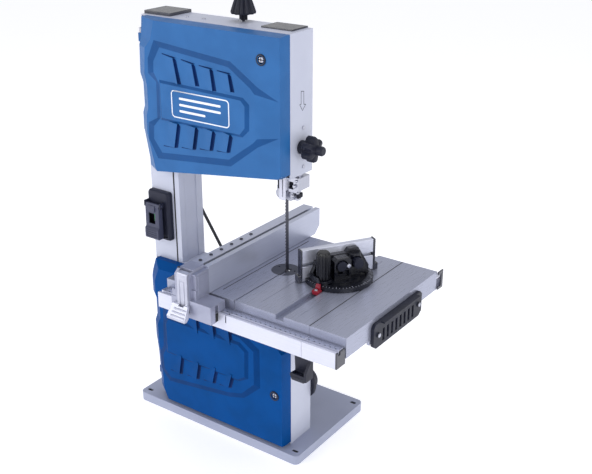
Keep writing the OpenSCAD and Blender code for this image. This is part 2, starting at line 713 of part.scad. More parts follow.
// Lower guide below the table, on the box's sloping corner
module lower_guide() color("#A6A7B2") {
    foot = step_top + 4;
    axis_z = foot + 16;
    span([blade_x - 24, blade_y - 8, foot], [blade_x - 12, block_front + 2, foot + 2.5]);
    span([blade_x - 24, block_front, foot], [blade_x - 12, block_front + 2, axis_z + 10]);
    span([blade_x - 24, block_front, axis_z - 6], [blade_x + 18, block_front + 2, axis_z + 10]);
    for (x = roller_x) {
        rod_y(blade_y - 7, blade_y + 7, x, axis_z, 3);
        rod_y(blade_y - 6, blade_y, x, axis_z, roller_r - 1);
    }
}

// ------------------------------------------------------------------- tilt

cheek_t = 5.6;

// Cast bracket on the lower box: two cheeks that hold the tilt segments
module tilt_bracket() color("#8E8F9A") {
    span([64, blade_y - 38, step_top], [116, blade_y + 22, step_top + 4]);
    for (i = [0, 1]) difference() {
        y = i == 0 ? seg_ys[0] - 0.2 - cheek_t : seg_ys[1] + seg_t + 0.2;
        union() {
            span([82, y, step_top], [116, y + cheek_t, step_top + 26]);
            rod_y(y, y + cheek_t, bolt_at[0], bolt_at[1], 13);
        }
        rod_y(y - 1, y + cheek_t + 1, bolt_at[0], bolt_at[1], bolt_r + run_gap);
    }
    for (x = tilt_feet, y = [blade_y - 33, blade_y + 17]) {
        rod_z(step_top + 4, step_top + 7, x, y, 4);
        rod_z(step_top - 6, step_top + 4, x, y, 2.5);
    }
}

bolt_at = [blade_x + seg_hole_r * cos(bolt_a), tilt_z + seg_hole_r * sin(bolt_a)];

// Arc-shaped segments under the table, slotted for the clamp bolt
module tilt_segment() color("#A3A4AF") for (y = seg_ys)
    translate([blade_x, y + seg_t, tilt_z]) rotate([90, 0, 0]) difference() {
        union() {
            intersection() {
                cylinder(r = seg_out, h = seg_t, $fn = 128);
                translate([0, 0, -1]) linear_extrude(seg_t + 2)
                    polygon([[0, 0], 200 * [cos(-128), sin(-128)], [0, -250], 200 * [cos(-56), sin(-56)]]);
            }
            translate([-44, -skin_t - 24.9, 0]) cube([84, 24.9, seg_t]);
        }
        translate([0, 0, -1]) intersection() {
            difference() {
                cylinder(r = seg_hole_r + bolt_r + 0.5, h = seg_t + 2, $fn = 128);
                translate([0, 0, -1]) cylinder(r = seg_hole_r - bolt_r - 0.5, h = seg_t + 4, $fn = 128);
            }
            translate([0, 0, -2]) linear_extrude(seg_t + 6)
                polygon([[0, 0], 200 * [cos(-121), sin(-121)], [0, -250], 200 * [cos(-64), sin(-64)]]);
        }
        translate([-60, -skin_t, -1]) cube([160, 20, seg_t + 2]);
        translate([-9, -26, -1]) cube([18, 20, seg_t + 2]);
    }

// Clamp bolt through both segments, with its grip at the back
module tilt_knob() color("#2F3039") {
    rod_y(blade_y - 40, box_back + 16, bolt_at[0], bolt_at[1], bolt_r);
    rod_y(blade_y - 37.5, blade_y - 33, bolt_at[0], bolt_at[1], 6);
    translate([bolt_at[0], box_back + 32, bolt_at[1]]) rotate([90, 0, 0]) star_grip(20, 16, 6);
    rod_y(box_back + 1, box_back + 17, bolt_at[0], bolt_at[1], 8);
}

// ------------------------------------------------------------------ table

groove = 0.8;
milled_x = [blade_x + 39.5, blade_x + 120];

module table_main() color("#959AAE") difference() {
    union() {
        span([table_left, table_front, table_top - skin_t], [table_right, table_back, table_top]);
        span([table_left, table_front, rim_low], [table_left + rim_t, table_back, table_top]);
        span([table_left, table_front, rim_low], [table_right, table_front + rim_t, table_top]);
        span([table_left, table_back - rim_t, rim_low], [table_right, table_back, table_top]);
        span([table_right - rim_t, table_front, rim_low], [table_right, table_back, table_top]);
        span([slot_x - slot_w / 2 - 5, table_front, table_top - slot_depth - 5],
            [slot_x + slot_w / 2 + 5, table_back, table_top]);
        span([slot_x - slot_w / 2 - 28, table_front, rim_low + 8],
            [slot_x - slot_w / 2 - 23, table_back, table_top]);
        for (y = [table_front + 60, table_back - 52])
            span([table_left, y, rim_low + 14], [table_right, y + 4, table_top]);
    }
    span([slot_x - slot_w / 2, table_front - 1, table_top - slot_depth],
        [slot_x + slot_w / 2, table_back + 1, table_top + 1]);
    rod_z(table_top - 4, table_top + 1, insert_x, blade_y, insert_r);
    rod_z(table_top - skin_t - 1, table_top, insert_x, blade_y, insert_r - 4);
    span([blade_x - 1.2, table_front - 1, rim_low - 1], [blade_x + 1.2, blade_y, table_top + 1]);
    for (y = rod_ys) rod_x(slot_x - 40, table_right + 1, y, rod_z, rod_r + run_gap);
    for (x = milled_x)
        span([x - groove / 2, table_front + 22, table_top - 0.5],
            [x + groove / 2, table_back - 20, table_top + 1]);
}

module table_insert() color("#3A3B44") difference() {
    rod_z(table_top - 3.9, table_top - 0.2, insert_x, blade_y, insert_r - 0.4);
    span([blade_x - 1.5, blade_y - insert_r - 1, table_top - 5], [blade_x + 5.2, blade_y + 8, table_top + 1]);
    for (x = [-17, 17]) rod_z(table_top - 2, table_top + 1, insert_x + x, blade_y + 4, 2);
}

module table_extension() color("#8F94A8") difference() {
    union() {
        span([table_right + 0.4, table_front, table_top - skin_t], [ext_right, table_back, table_top]);
        for (y = [table_front, table_back - rim_t])
            span([table_right + 0.4, y, rim_low], [ext_right, y + rim_t, table_top]);
        span([ext_right - rim_t, table_front, rim_low], [ext_right, table_back, table_top]);
        span([ext_right - rim_t, table_front + 70, rim_low - 9], [ext_right, table_back - 60, rim_low]);
    }
    for (y = rod_ys) rod_x(table_right, ext_right - rim_t + 0.01, y, rod_z, rod_r + 0.01);
}

rod_left = slot_x - 34;

// Two tubes that carry the extension, with a foot against its end wall
module extension_rods() color("#B6B7C3") for (y = rod_ys)
    rod_x(rod_left, ext_right - rim_t, y, rod_z, rod_r);

handle_d = 161.5;
handle_y = blade_y + 4.3;

// Black grip on the extension's end, with upright slots
module extension_handle() color("#2C2D35") {
    x0 = ext_right;
    difference() {
        slab_yz([[handle_y - handle_d / 2 + 6, table_top - 9], [handle_y + handle_d / 2 - 6, table_top - 9],
            [handle_y + handle_d / 2, table_top - 15], [handle_y + handle_d / 2, table_top - 48],
            [handle_y + handle_d / 2 - 9, table_top - 55], [handle_y - handle_d / 2 + 9, table_top - 55],
            [handle_y - handle_d / 2, table_top - 48],
                [handle_y - handle_d / 2, table_top - 15]], x0, x0 + 6);
        for (i = [-3.5 : 1 : 3.5])
            span([x0 - 1, handle_y + i * 14 - 3, table_top - 48],
                [x0 + 7, handle_y + i * 14 + 3, table_top - 26]);
        for (y = [-67.4, 67.4]) rod_x(x0 - 1, x0 + 7, handle_y + y, table_top - 31, 2.4);
    }
    span([x0, handle_y - 60, table_top - 12], [x0 + 14, handle_y + 60, table_top - 9]);
    for (y = [-67.4, 67.4]) {
        rod_x(x0, x0 + 6, handle_y + y, table_top - 31, 2.4);
        rod_x(x0 + 6, x0 + 8, handle_y + y, table_top - 31, 4.4);
    }
}

// Rail profile: box section with a groove and a land for the scale
rail_profile = [[rail_front, rail_low], [table_front - 0.1, rail_low], [table_front - 0.1, rail_top - 3],
    [table_front - 2, rail_top - 3], [table_front - 2, rail_top], [table_front - 15, rail_top],
    [table_front - 15, rail_top - 5], [table_front - 20, rail_top - 5], [table_front - 20, rail_top],
    [rail_front, rail_top]];

module rail_length(x0, x1) difference() {
    slab_yz(rail_profile, x0, x1);
    span([x0 - 1, rail_front + 2.4, rail_low + 2.4], [x1 + 1, table_front - 2.6, rail_top - 8]);
}

split_x = table_right + 2;

module front_rail() color("#D9DAEA") difference() {
    rail_length(table_left, split_x - 0.3);
    span([lever_x - 15, rail_front + 6, rail_low - 1], [lever_x + 15, table_front - 5, rail_low + 4]);
    span([blade_x - 1.2, rail_front - 1, rail_low + 14], [blade_x + 1.2, table_front + 1, rail_top + 1]);
}

module rail_extension() color("#D4D5E6") {
    rail_length(split_x + 0.3, rail_end);
    for (x = [split_x + 14, rail_end - 12])
        span([x - 4, table_front - 0.1, rail_low + 10], [x + 4, table_front, rail_low + 22]);
}

module rail_end_caps() color("#26272E") {
    slab_yz(rail_profile, rail_end, rail_end + 3);
    slab_yz([[table_back + 2, table_top - 37], [table_back + 20, table_top - 37],
        [table_back + 20, table_top - 2], [table_back + 2, table_top - 2],
        [table_back + 2, table_top - 8], [table_back + 13, table_top - 8],
        [table_back + 13, table_top - 31], [table_back + 2, table_top - 31]], ext_right, ext_right + 3);
}

// Rear rail of C section on the extension
module rear_rail() color("#C4C5D3") {
    x0 = table_right + 0.6;
    slab_yz([[table_back, table_top - 37], [table_back + 20, table_top - 37],
        [table_back + 20, table_top - 2], [table_back, table_top - 2], [table_back, table_top - 5],
        [table_back + 17, table_top - 5], [table_back + 17, table_top - 34],
        [table_back, table_top - 34]], x0, ext_right);
    span([x0 + 8, table_back, table_top - 26], [x0 + 30, table_back + 17, table_top - 12]);
}

lever_x = table_right - 0.5;
lever_w = 33;
lever_pivot = [table_front - 12.5, rail_low - 5];

// Lever under the rail that locks the extension
module lock_lever() color("#30313A") {
    x0 = lever_x - lever_w / 2;
    x1 = lever_x + lever_w / 2 - 1;
    span([x0, lever_pivot[0] - 2, rail_low - 29], [x1, lever_pivot[0] + 2.5, lever_pivot[1]]);
    rod_x(x0, x1, lever_pivot[0], lever_pivot[1], 4.6);
    slab_yz([[lever_pivot[0], rail_low - 29], [lever_pivot[0] - 15, rail_low - 32],
        [lever_pivot[0] - 17, rail_low - 38], [lever_pivot[0] - 14, rail_low - 46],
        [lever_pivot[0] - 6, rail_low - 46], [lever_pivot[0] + 2.5, rail_low - 36]], x0 + 2, x1 - 2);
}

// ------------------------------------------------------------------ fence

module fence_bar() color("#B4B7C9") difference() {
    slab_xz([[fence_left, fence_low], [fence_right, fence_low], [fence_right, fence_low + fence_h],
        [fence_right - 10, fence_low + fence_h], [fence_right - 10, fence_low + fence_h - 12],
        [fence_right - 16, fence_low + fence_h - 12], [fence_right - 16, fence_low + fence_h],
        [fence_left, fence_low + fence_h]], fence_front, fence_back);
    span([fence_left + 2.5, fence_front - 1, fence_low + 2.5],
        [fence_right - 18.5, fence_back + 1, fence_low + fence_h - 2.5]);
    span([fence_right - 16, fence_front - 1, fence_low + 2.5],
        [fence_right - 2.5, fence_back + 1, fence_low + fence_h - 15]);
    for (y = head_screw_y) rod_z(fence_low + fence_h - 5, fence_low + fence_h + 1, fence_left + 10, y, 2.5);
    slab_yz([[fence_back + 1, fence_low - 1], [fence_back + 1, fence_low + 16],
        [fence_back - 16, fence_low - 1]],
        fence_left - 1, fence_right + 1);
}

// Cast head over the front rail, and the tall part that clamps the bar
module fence_head() color("#BDBCC8") {
    difference() {
        union() {
            span([head_left, head_front, rail_low - 4], [head_right, rail_front - 0.4, fence_low]);
            span([head_left, head_front, rail_top + 0.4], [head_right, table_front - 6.5, fence_low]);
            span([fence_left - 1, head_front - 1, fence_low],
                [fence_right - 7, fence_front, fence_low + fence_h]);
            span([fence_right - 7, head_front + 8, fence_low],
                [fence_right, fence_front, fence_low + fence_h - 4]);
        }
        span([lever_mid - lever_half - 0.5, head_front - 2, rail_low - 6],
            [lever_mid + lever_half + 0.5, head_front + 12, fence_low + fence_h + 1]);
    }
    rod_x(lever_mid - lever_half - 1, lever_mid + lever_half + 1, head_front + 4, lever_z, 3);
    for (y = head_screw_y) {
        rod_z(fence_low + fence_h, fence_low + fence_h + 3, fence_left + 10, y, 4.5);
        rod_z(fence_low + fence_h - 2.4, fence_low + fence_h, fence_left + 10, y, 2.5);
    }
}

lever_mid = fence_left + 17;
lever_half = 11;

// Clamp lever at the front of the head, with a ribbed pad at its foot
module fence_lever() color("#C9C8D4") {
    y = head_front + 4;
    difference() {
        union() {
            slab_yz([[y - 6.5, lever_z + 4.5], [y + 4, lever_z + 4.5],
                [y + 4, rail_low + 16], [y - 5, rail_low - 4], [y - 14, rail_low - 7],
                [y - 14.5, rail_low - 3], [y - 8, rail_low + 14]],
                lever_mid - lever_half, lever_mid + lever_half);
        }
        rod_x(lever_mid - 30, lever_mid + 30, y, lever_z, 3 + run_gap);
        span([lever_mid - 4, y - 8, rail_low + 22], [lever_mid + 4, y - 5.7, fence_low + 34]);
    }
    slab_yz([[y - 9, rail_low + 3], [y - 5, rail_low - 4], [y - 14, rail_low - 7],
        [y - 16, rail_low - 4]], lever_mid - lever_half - 5, lever_mid + lever_half + 5);
}

// ------------------------------------------------------------------ gauge

module at_gauge() translate([slot_x, gauge_y, 0]) rotate([0, 0, gauge_angle]) children();

pivot_r = 4;
bar_w = slot_w - 0.6;

module gauge_bar() color("#C6C7D2") {
    difference() {
        span([slot_x - bar_w / 2, gauge_y - 66, table_top - slot_depth + 0.4],
            [slot_x + bar_w / 2, gauge_y + 118, table_top - 0.1]);
        rod_z(table_top - slot_depth, table_top + 1, slot_x, gauge_y + 108, 3.2);
    }
    rod_z(table_top - 1, disc_top + 3, slot_x, gauge_y, pivot_r);
}

disc_top = disc_low + disc_t;
pointer_y = gauge_y - gauge_r - 0.9;

// Red pointer: foot on the bar, riser in front of the disc and tip above it
module gauge_pointer() color("#C2303A") {
    span([slot_x - 6, gauge_y - 73, table_top - 0.1], [slot_x + 6, pointer_y, table_top + 4.4]);
    span([slot_x - 6, gauge_y - 73, table_top - 4], [slot_x + 6, gauge_y - 66, table_top]);
    span([slot_x - 1.5, pointer_y - 3, table_top + 4], [slot_x + 1.5, pointer_y, disc_top + 2]);
    span([slot_x - 1.5, pointer_y - 1, disc_top + 0.6], [slot_x + 1.5, pointer_y + 3.5, disc_top + 2]);
    rod_z(table_top + 4.4, table_top + 6.4, slot_x, gauge_y - 69, 3.4);
}

// Black body: half disc with its scale, and the ribbed block behind the fence
module gauge_base() color("#2A2B32") at_gauge() difference() {
    union() {
        intersection() {
            rod_z(disc_low, disc_low + disc_t, 0, 0, gauge_r);
            span([-100, -100, disc_low - 1], [100, 7, disc_top + 1]);
        }
        span([-gauge_r + 6, -9, disc_top - 1], [gauge_r - 6, 7, disc_low + 20]);
        span([-44, -3, disc_low + 18], [44, 7, disc_low + 40]);
        span([-18, -22, disc_top - 1], [18, 7, disc_low + 21]);
        for (x = [-gauge_r + 10, gauge_r - 14]) span([x, -26, disc_top - 1], [x + 4, 0, disc_low + 16]);
        rod_z(disc_top - 1, disc_low + 14, handle_x, -handle_off, 15);
    }
    rod_z(disc_low - 1, disc_top + 3.5, 0, 0, pivot_r + run_gap);
    rod_z(disc_low - 1, disc_low + 20, handle_x, -handle_off, 4 + run_gap);
    rod_z(disc_low + 14, disc_low + 30, handle_x, -handle_off, 14.2);
    for (x = knob_xs) rod_y(-10, 8, x, knob_z, 3 + run_gap);
}

handle_x = -38;
handle_off = 19;
knob_xs = [-4, 28];
knob_z = disc_low + 32;
fence_y0 = 7.2;

// Silver fence of the gauge, an extrusion with two T grooves
module gauge_fence() color("#BFC2D2") at_gauge() difference() {
    span([-gauge_l / 2 + 2.5, fence_y0, gauge_low], [gauge_l / 2 + 2.5, fence_y0 + 11, gauge_low + gauge_h]);
    for (z = [knob_z]) {
        span([-gauge_l, fence_y0 - 1, z - 3.1], [gauge_l, fence_y0 + 3.5, z + 3.1]);
        span([-gauge_l, fence_y0 + 3, z - 6], [gauge_l, fence_y0 + 7.5, z + 6]);
    }
    span([-gauge_l, fence_y0 + 3, gauge_low + gauge_h - 10],
        [gauge_l, fence_y0 + 7.5, gauge_low + gauge_h - 3]);
}

module gauge_end_caps() color("#202127") at_gauge() for (s = [-1, 1]) {
    x = s * gauge_l / 2 + 2.5;
    span([min(x, x + s * 3.5), fence_y0 - 1.5, gauge_low - 0.6],
        [max(x, x + s * 3.5), fence_y0 + 12, gauge_low + gauge_h + 0.8]);
    span([min(x, x + s * 9), fence_y0 - 1.5, gauge_low - 0.6],
        [max(x, x + s * 9), fence_y0 + 12, gauge_low + 12]);
}

// Two knurled nuts whose square heads slide in the fence's groove
module gauge_knobs() color("#1E1F25") at_gauge() for (x = knob_xs) {
    rod_y(-24, -3.2, x, knob_z, 9);
    for (i = [0 : 11]) translate([x, 0, knob_z]) rotate([0, i * 30, 0])
        rod_y(-23, -6, 8.6, 0, 1.2);
    rod_y(-4, fence_y0 + 4, x, knob_z, 3);
    span([x - 5, fence_y0 + 3.6, knob_z - 5], [x + 5, fence_y0 + 6.8, knob_z + 5]);
}

// Upright grip that clamps the gauge's angle
module gauge_handle() color("#1C1D22") at_gauge() translate([handle_x, -handle_off, 0]) {
    rod_z(disc_low + 1, disc_low + 16, 0, 0, 4);
    rod_z(disc_low + 14.3, disc_low + 62, 0, 0, 12.5);
    for (i = [0 : 7]) rotate(i * 45) rod_z(disc_low + 18, disc_low + 58, 12, 0, 1.6);
    rod_z(disc_low + 62, disc_low + 65, 0, 0, 10.5);
}

// ----------------------------------------------------------------- switch

sw_x0 = column_left - 1.6;
sw_x1 = column_left + 50;
sw_low = 368;
sw_high = 457;
sw_y = box_front - 11;
flap_x0 = sw_x0 + 4;
flap_x1 = sw_x1 - 14;
flap_top = sw_high - 18;
flap_low = sw_low + 1;
flap_pivot = [sw_y - 8, flap_top];

module switch_housing() color("#34353F") difference() {
    union() {
        translate([0, box_front, 0]) rotate([90, 0, 0]) translate([sw_x0, sw_low, 0])
            round_block([sw_x1 - sw_x0, sw_high - sw_low, 11], 5);
        for (x = [flap_x0 - 3.4, flap_x1 + 0.3])
            span([x, sw_y - 12, flap_top - 5], [x + 3, sw_y + 1, flap_top + 6]);
    }
    for (z = button_zs) rod_y(sw_y - 1, sw_y + 8, button_x, z, 8 + 0.2);
    for (x = [flap_x0 - 5, flap_x1 - 2]) rod_x(x, x + 7, flap_pivot[0], flap_pivot[1], 2.5 + run_gap);
}

button_x = (flap_x0 + flap_x1) / 2;
button_zs = [sw_low + 28, sw_low + 52];

// Hinged flap over the buttons, with a window and a ribbed paddle
module switch_flap() color("#3C3D48") difference() {
    union() {
        span([flap_x0, sw_y - 14, flap_low + 22], [flap_x1, sw_y - 10.5, flap_top + 2]);
        span([flap_x0, sw_y - 19, flap_low], [flap_x1, sw_y - 10.5, flap_low + 24]);
        for (x = [flap_x0, flap_x1 - 2.4]) span([x, sw_y - 12, flap_low],
            [x + 2.4, sw_y - 0.6, flap_top - 5]);
        rod_x(flap_x0 - 2.6, flap_x1 + 2.6, flap_pivot[0], flap_pivot[1], 2.5);
        span([flap_x0, sw_y - 12, flap_top - 2], [flap_x1, sw_y - 7, flap_top + 2.4]);
    }
    span([button_x - 7, sw_y - 15, flap_low + 34], [button_x + 7, sw_y - 9, flap_low + 54]);
    for (i = [0 : 3]) span([flap_x0 + 3, sw_y - 20, flap_low + 3.5 + i * 5],
        [flap_x1 - 3, sw_y - 18, flap_low + 6 + i * 5]);
}

module switch_buttons() for (i = [0, 1])
    color(i == 1 ? "#1E8E4E" : "#B02A2A") rod_y(sw_y - 4.5, sw_y + 4, button_x, button_zs[i], 8);

// --------------------------------------------------------------- assembly

base_plate();
lower_box();
column();
upper_box();
column_cap();
corner_cap();
frame_screws();
hinge_leaves();
latch_brackets();
upper_door();
upper_door_lock();
lower_door();
lower_door_lock();
upper_wheel();
upper_tyre();
wheel_carriage();
tension_spring();
tension_knob();
lower_wheel();
lower_tyre();
motor_shaft();
motor_housing();
motor_fan_cover();
terminal_box();
motor_lead();
cable_glands();
dust_port();
blade();
guide_post();
guide_bracket();
guide_rollers();
blade_guard();
guide_knob();
lower_guide();
tilt_bracket();
tilt_segment();
tilt_knob();
table_main();
table_insert();
table_extension();
extension_rods();
extension_handle();
front_rail();
rail_extension();
rail_end_caps();
rear_rail();
lock_lever();
fence_bar();
fence_head();
fence_lever();
gauge_bar();
gauge_pointer();
gauge_base();
gauge_fence();
gauge_end_caps();
gauge_knobs();
gauge_handle();
switch_housing();
switch_flap();
switch_buttons();
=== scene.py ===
import math
import bpy
import bmesh
from mathutils import Matrix, Vector


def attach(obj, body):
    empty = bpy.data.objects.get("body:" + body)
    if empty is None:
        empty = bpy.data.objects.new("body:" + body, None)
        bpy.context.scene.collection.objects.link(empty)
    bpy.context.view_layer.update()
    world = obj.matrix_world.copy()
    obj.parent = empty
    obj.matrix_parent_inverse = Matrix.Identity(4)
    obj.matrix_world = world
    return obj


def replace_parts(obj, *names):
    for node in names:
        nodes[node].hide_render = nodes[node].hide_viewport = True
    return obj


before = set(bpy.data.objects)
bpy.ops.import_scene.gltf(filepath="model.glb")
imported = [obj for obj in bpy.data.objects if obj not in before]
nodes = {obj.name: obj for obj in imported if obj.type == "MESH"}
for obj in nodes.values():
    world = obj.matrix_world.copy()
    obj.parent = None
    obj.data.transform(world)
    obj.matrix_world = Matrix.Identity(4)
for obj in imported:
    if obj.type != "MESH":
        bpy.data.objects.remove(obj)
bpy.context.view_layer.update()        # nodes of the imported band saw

mm = 0.001
print("stage: frame loaded,", len(nodes), "nodes")


# Small helpers

def hexColour(text):
    # sRGB hex to the linear colour that shaders take
    values = [int(text[i:i + 2], 16) / 255 for i in (1, 3, 5)]
    linear = [v / 12.92 if v <= 0.04045 else ((v + 0.055) / 1.055) ** 2.4 for v in values]
    return (*linear, 1.0)


def addNode(tree, kind, settings=None, inputs=None):
    # one shader node, with its settings, its values and its incoming links
    node = tree.nodes.new(kind)
    for key, value in (settings or {}).items():
        setattr(node, key, value)
    for key, value in (inputs or {}).items():
        if isinstance(value, bpy.types.NodeSocket):
            tree.links.new(value, node.inputs[key])
        else:
            node.inputs[key].default_value = value
    return node


def box(low, high):
    # eight corners and six faces between two corners, in millimetres
    (x0, y0, z0), (x1, y1, z1) = low, high
    points = [(x, y, z) for z in (z0, z1) for y in (y0, y1) for x in (x0, x1)]
    faces = [(0, 2, 3, 1), (4, 5, 7, 6), (0, 1, 5, 4), (2, 6, 7, 3), (0, 4, 6, 2), (1, 3, 7, 5)]
    return points, faces


def loft(rings):
    # closed solid through rings that all have the same number of points
    count = len(rings[0])
    points = [p for ring in rings for p in ring]
    faces = [tuple(range(count))[::-1], tuple(range(len(points) - count, len(points)))]
    for k in range(len(rings) - 1):
        for i in range(count):
            j = (i + 1) % count
            faces.append((k * count + i, k * count + j, (k + 1) * count + j, (k + 1) * count + i))
    return points, faces


def rect(x0, y0, x1, y1, z):
    # a level rectangle, as one ring of a loft
    return [(x0, y0, z), (x1, y0, z), (x1, y1, z), (x0, y1, z)]


def level(points, z):
    # an (x, y) outline laid flat
    return [(x, y, z) for x, y in points]


def facing(points, y):
    # an (x, z) outline stood up to face the front
    return [(x, y, z) for x, z in points]


def sideways(points, x):
    # a (y, z) outline stood up to face the side
    return [(x, y, z) for y, z in points]


def turned(profile, sides=48):
    # rings of (radius, height) about Z
    step = 2 * math.pi / sides
    return loft([[(r * math.cos(i * step), r * math.sin(i * step), z) for i in range(sides)]
                 for r, z in profile])


def place(solid, matrix):
    # the solid moved and turned by a matrix
    points, faces = solid
    return [tuple(matrix @ Vector(p)) for p in points], faces


def rotation(axis, degrees):
    return Matrix.Rotation(math.radians(degrees), 4, axis)


def shift(x, y, z):
    return Matrix.Translation((x, y, z))


def alongX(y, z):
    # a seat whose axis points to the right
    return shift(0, y, z) @ rotation("Y", 90)


def alongY(x, z):
    # a seat whose axis points out of the front
    return shift(x, 0, z) @ rotation("X", 90)


def rod(radius, start, end, sides, seat):
    # a plain cylinder on its seat
    return place(turned([(radius, start), (radius, end)], sides), seat)


def dress(obj, material):
    # one material all over
    obj.data.materials.clear()
    obj.data.materials.append(material)


sharpEdges = {"piece": 22, "joined": 11}      # degrees above which an edge isn't shaded smooth


def roundEdges(obj, widthMm, bevelAngle, segments):
    # a bevel on every edge that turns by more than the angle
    rounding = obj.modifiers.new("rounding", "BEVEL")
    rounding.width = widthMm * mm
    rounding.segments = segments
    rounding.limit_method = "ANGLE"
    rounding.angle_limit = math.radians(bevelAngle)
    rounding.use_clamp_overlap = True


def eased(obj, look, bevel, sharp, bevelAngle, segments):
    # its finish, smooth shading, rounded edges, and normals that keep the large faces flat
    if look:
        dress(obj, finish[look])
    for polygon in obj.data.polygons:
        polygon.use_smooth = True
    obj.data.set_sharp_from_angle(angle=math.radians(sharp))
    if bevel:
        roundEdges(obj, bevel, bevelAngle, segments)
    weighted = obj.modifiers.new("normals", "WEIGHTED_NORMAL")
    weighted.keep_sharp = True
    return obj


def piece(name, solids, bevel=0.6, bevelAngle=35, segments=2, look=None):
    # one object of several closed solids, with bevelled edges
    bm = bmesh.new()
    for points, faces in solids:
        verts = [bm.verts.new([c * mm for c in p]) for p in points]
        for face in faces:
            bm.faces.new([verts[i] for i in face])
    bmesh.ops.remove_doubles(bm, verts=bm.verts, dist=1e-7)
    bmesh.ops.recalc_face_normals(bm, faces=bm.faces)
    mesh = bpy.data.meshes.new(name)
    bm.to_mesh(mesh)
    bm.free()
    obj = bpy.data.objects.new(name, mesh)
    bpy.context.scene.collection.objects.link(obj)
    return eased(obj, look, bevel, sharpEdges["piece"], bevelAngle, segments)


def applied(obj):
    # the object's mesh with its modifiers made real
    bpy.context.view_layer.update()
    graph = bpy.context.evaluated_depsgraph_get()
    mesh = bpy.data.meshes.new_from_object(obj.evaluated_get(graph))
    obj.modifiers.clear()
    obj.data = mesh
    return obj


def joined(name, solids, bevel=0.6, cuts=(), bevelAngle=35, segments=2, look=None):
    # solids made one by a union, less the cuts, then bevelled
    whole = solids[0] if isinstance(solids[0], bpy.types.Object) else piece(name, [solids[0]], 0)
    whole.modifiers.clear()
    for operation, parts in (("UNION", solids[1:]), ("DIFFERENCE", cuts)):
        for part in parts:
            tool = piece(name + "Tool", [part], 0)
            tool.modifiers.clear()
            step = whole.modifiers.new(operation, "BOOLEAN")
            step.operation = operation
            step.solver = "MANIFOLD"
            step.object = tool
            applied(whole)
            bpy.data.objects.remove(tool)
    bm = bmesh.new()
    bm.from_mesh(whole.data)
    bmesh.ops.remove_doubles(bm, verts=bm.verts, dist=2e-6)
    bmesh.ops.dissolve_limit(bm, angle_limit=0.01, verts=bm.verts, edges=bm.edges)
    bm.to_mesh(whole.data)
    bm.free()
    return eased(whole, look, bevel, sharpEdges["joined"], bevelAngle, segments)


# Camera

cameraPlan = {
    "place": (1.0258, -1.2844, 1.0670),   # metres, in the saw's own frame
    "target": (0.2030, -0.12635, 0.4644),
    "lens": 57.23, "sensor": 36,          # millimetres
    "farthest": 60,                       # metres
}

cameraData = bpy.data.cameras.new("camera")
cameraData.lens = cameraPlan["lens"]
cameraData.sensor_width = cameraPlan["sensor"]
cameraData.clip_end = cameraPlan["farthest"]
camera = bpy.data.objects.new("camera", cameraData)
camera.location = cameraPlan["place"]
gaze = Vector(cameraPlan["target"]) - Vector(cameraPlan["place"])
camera.rotation_euler = gaze.to_track_quat("-Z", "Y").to_euler()
bpy.context.scene.collection.objects.link(camera)
bpy.context.scene.camera = camera
print("stage: camera set")


# Materials

materialPlan = {
    "cloudSpread": (0.3, 0.7),    # where the slow tint starts and ends in its noise
    "glossSpread": (0.25, 0.75),
    "lineShare": 0.55,            # how much of a worked metal's tint follows its tool lines
    "lineDraw": 60,               # how far a tool line runs, in line widths
}


